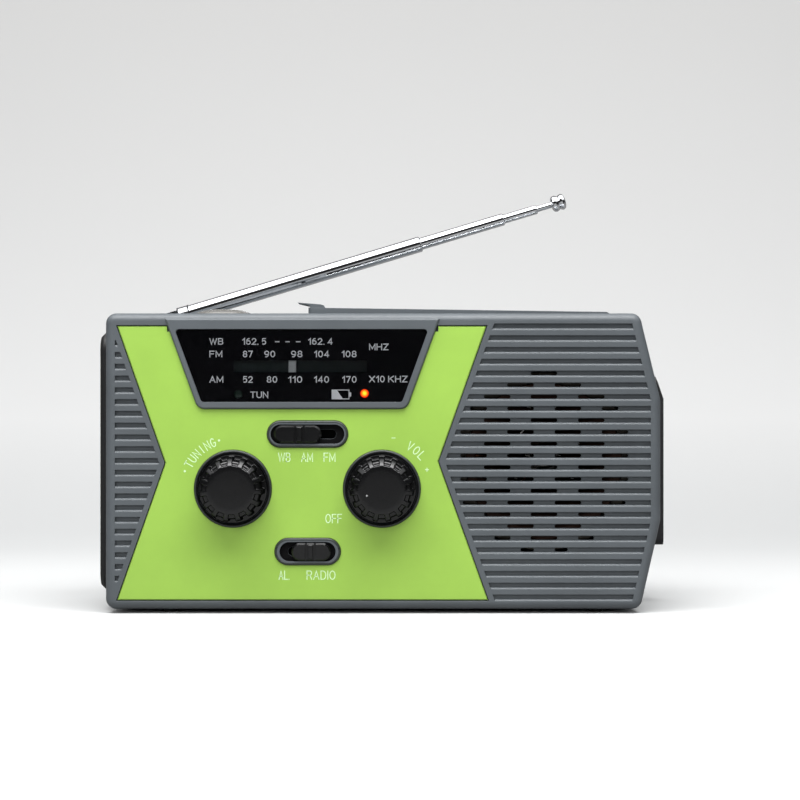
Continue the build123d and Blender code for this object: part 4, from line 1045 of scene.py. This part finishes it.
# (radius, distance from the pivot along the aerial)
AERIAL_RING_OUTER = [(2.30, 10.55), (2.50, 10.55), (2.56, 10.62), (2.56, 10.95),
                     (2.50, 11.02), (2.30, 11.02), (2.30, 10.55)]
AERIAL_RING_INNER = [(2.30, 7.42), (2.52, 7.42), (2.58, 7.5), (2.58, 7.74), (2.52, 7.82),
                     (2.30, 7.82), (2.30, 7.42)]
TORCH_CENTRE = (-79.3, 4.5, 42.0)
# (radius, x from the torch's centre)
TORCH_RING = [(15.4, 0.0), (15.4, -0.5), (14.6, -0.55), (14.3, -0.1), (14.3, 0.0), (15.4, 0.0)]


def build_aerial_rings():
    """Dark joint rings, turned from the lathe's Y axis onto the aerial's line."""
    px, py, pz = AERIAL_PIVOT
    dx, dz = math.cos(AERIAL_TILT), math.sin(AERIAL_TILT)
    for name, profile in (("outer", AERIAL_RING_OUTER), ("inner", AERIAL_RING_INNER)):
        verts, faces = lathe(profile, steps=48)
        laid = [(px + dx * y - dz * x, py + z, pz + dz * y + dx * x) for x, y, z in verts]
        piece("aerial_ring_" + name, (laid, faces), "aerial_section_1", "ring_dark")


def build_torch_ring():
    """Bright ring on the lens, turned from the lathe's Y axis onto X."""
    cx, cy, cz = TORCH_CENTRE
    verts, faces = lathe(TORCH_RING)
    turned = [(cx + y, cy + x, cz + z) for x, y, z in verts]
    piece("torch_lens_ring", (turned, faces), "case", "chrome_soft")


# ------------------------------------------------------------------ stage, light, camera (m)
def paper_material():
    """Pale paper, cooler on the floor and faintly cloudy; painted shade makes it darker on the
    flat floor and a little darker up the sweep.
    """
    nodes, surface = start_principled("studio_paper")
    coords = nodes.coords()
    height = nodes.add("SeparateXYZ", {0: coords}).outputs["Z"]
    # painted shade: the colour falls off up the sweep and drops on the flat floor, standing in
    # for how the light falls
    shade = nodes.mix(nodes.remap(height, span=(0.02, 0.34)),
                      (0.885, 0.885, 0.88), (0.80, 0.795, 0.785))
    shade = nodes.mix(nodes.remap(height, span=(0.0, 0.05)), (0.72, 0.727, 0.725), shade)
    clouds = nodes.noise(coords, scale=3.0, detail=2.0, rough=0.5)
    clouds = nodes.remap(clouds, span=(0.3, 0.7), to=(0.0, 0.04))
    shade = nodes.mix(clouds, shade, (0.6, 0.6, 0.6))
    # the camera sees these pale painted colours, while every other ray meets a dim grey, so the
    # paper throws back little light
    seen = nodes.add("LightPath").outputs["Is Camera Ray"]
    nodes.feed(surface, {
        "Base Color": nodes.mix(seen, (0.27, 0.27, 0.27), shade),
        "Roughness": 0.75,
        "Specular IOR Level": 0.2,
    })


def build_sweep():
    """Floor that curves up into a back wall."""
    front_y, bend_y, radius, steps = -1.5, 0.25, 0.9, 24
    half_width, wall_top = 3.0, 3.0
    profile = [(front_y, 0.0), (bend_y, 0.0)]
    for k in range(1, steps + 1):
        a = math.radians(90 * k / steps)
        profile.append((bend_y + radius * math.sin(a), radius * (1 - math.cos(a))))
    profile.append((bend_y + radius, wall_top))
    verts = [(x, y, z) for y, z in profile for x in (-half_width, half_width)]
    faces = [(2 * i, 2 * i + 1, 2 * i + 3, 2 * i + 2) for i in range(len(profile) - 1)]
    mesh = bpy.data.meshes.new("studio_sweep")
    mesh.from_pydata(verts, [], faces)
    for polygon in mesh.polygons:
        polygon.use_smooth = True
    sweep = bpy.data.objects.new("studio_sweep", mesh)
    scene.collection.objects.link(sweep)
    paper_material()
    mesh.materials.append(materials["studio_paper"])


def area_light(name, place, target, size, power):
    light = bpy.data.lights.new(name, "AREA")
    light.shape = "RECTANGLE"
    light.size, light.size_y = size
    light.energy = power
    lamp = bpy.data.objects.new(name, light)
    scene.collection.objects.link(lamp)
    lamp.location = place
    aim = Vector(target) - Vector(place)
    lamp.rotation_euler = aim.to_track_quat("-Z", "Y").to_euler()
    return lamp


def build_lights():
    area_light("key_top", place=(0.0, -0.20, 0.46), target=(0.0, -0.01, 0.06),
               size=(0.62, 0.30), power=4.0)
    fill = area_light("fill_front", place=(-0.25, -1.15, 0.42), target=(0.0, 0.0, 0.05),
                      size=(0.9, 0.5), power=5.4)
    fill.visible_glossy = False
    area_light("back_wash", place=(0.0, 0.45, 1.25), target=(0.0, 1.15, 0.25),
               size=(1.6, 0.5), power=5.4)


def build_world():
    world = bpy.data.worlds.new("studio_world")
    scene.world = world
    world.use_nodes = True
    nodes = Nodes(world.node_tree)
    output = nodes.add("OutputWorld")
    ambient = nodes.add("Background", {"Color": (0.97, 0.985, 1.0)})
    reflected = nodes.add("Background", {"Color": (0.98, 0.99, 1.0)})
    switch = nodes.add("MixShader")
    path = nodes.add("LightPath")
    coords = nodes.add("TexCoord").outputs["Generated"]
    up = nodes.add("SeparateXYZ", {0: coords}).outputs["Z"]
    # soft light from everywhere, a little stronger from above
    nodes.feed(ambient, {"Strength": nodes.remap(up, span=(-0.1, 1.0), to=(0.16, 0.60))})
    # what shiny surfaces see: a white tent overhead and a dark room at eye level
    nodes.feed(reflected, {"Strength": nodes.remap(up, span=(0.44, 0.60), to=(0.022, 1.45))})
    nodes.feed(switch, {0: path.outputs["Is Glossy Ray"], 1: ambient.outputs[0],
                        2: reflected.outputs[0]})
    nodes.feed(output, {0: switch.outputs[0]})


def build_camera():
    """Level camera square to the front; sizes in mm."""
    view_x, view_z, view_width = 4.76, 59.86, 224.0
    front_y, distance = -21.5, 600.0
    camera = bpy.data.cameras.new("camera")
    camera.sensor_width = 36.0
    camera.lens = 36.0 * distance / view_width
    camera.clip_start = 0.01
    holder = bpy.data.objects.new("camera", camera)
    scene.collection.objects.link(holder)
    holder.location = ((view_x - MID_X) * MM, (front_y - distance) * MM, view_z * MM)
    holder.rotation_euler = (math.radians(90), 0, 0)
    scene.camera = holder


# ------------------------------------------------------------------ build
make_materials()
paint_cad_pieces()
build_knobs()
build_dial_print()
build_dial_lamps()
build_panel_print()
build_speaker_cone()
build_tinsel_wires()
build_speaker_details()
build_solar_panel()
build_slot_trim()
build_well_trim()
build_aerial_rings()
build_torch_ring()
build_sweep()
build_lights()
build_world()
build_camera()
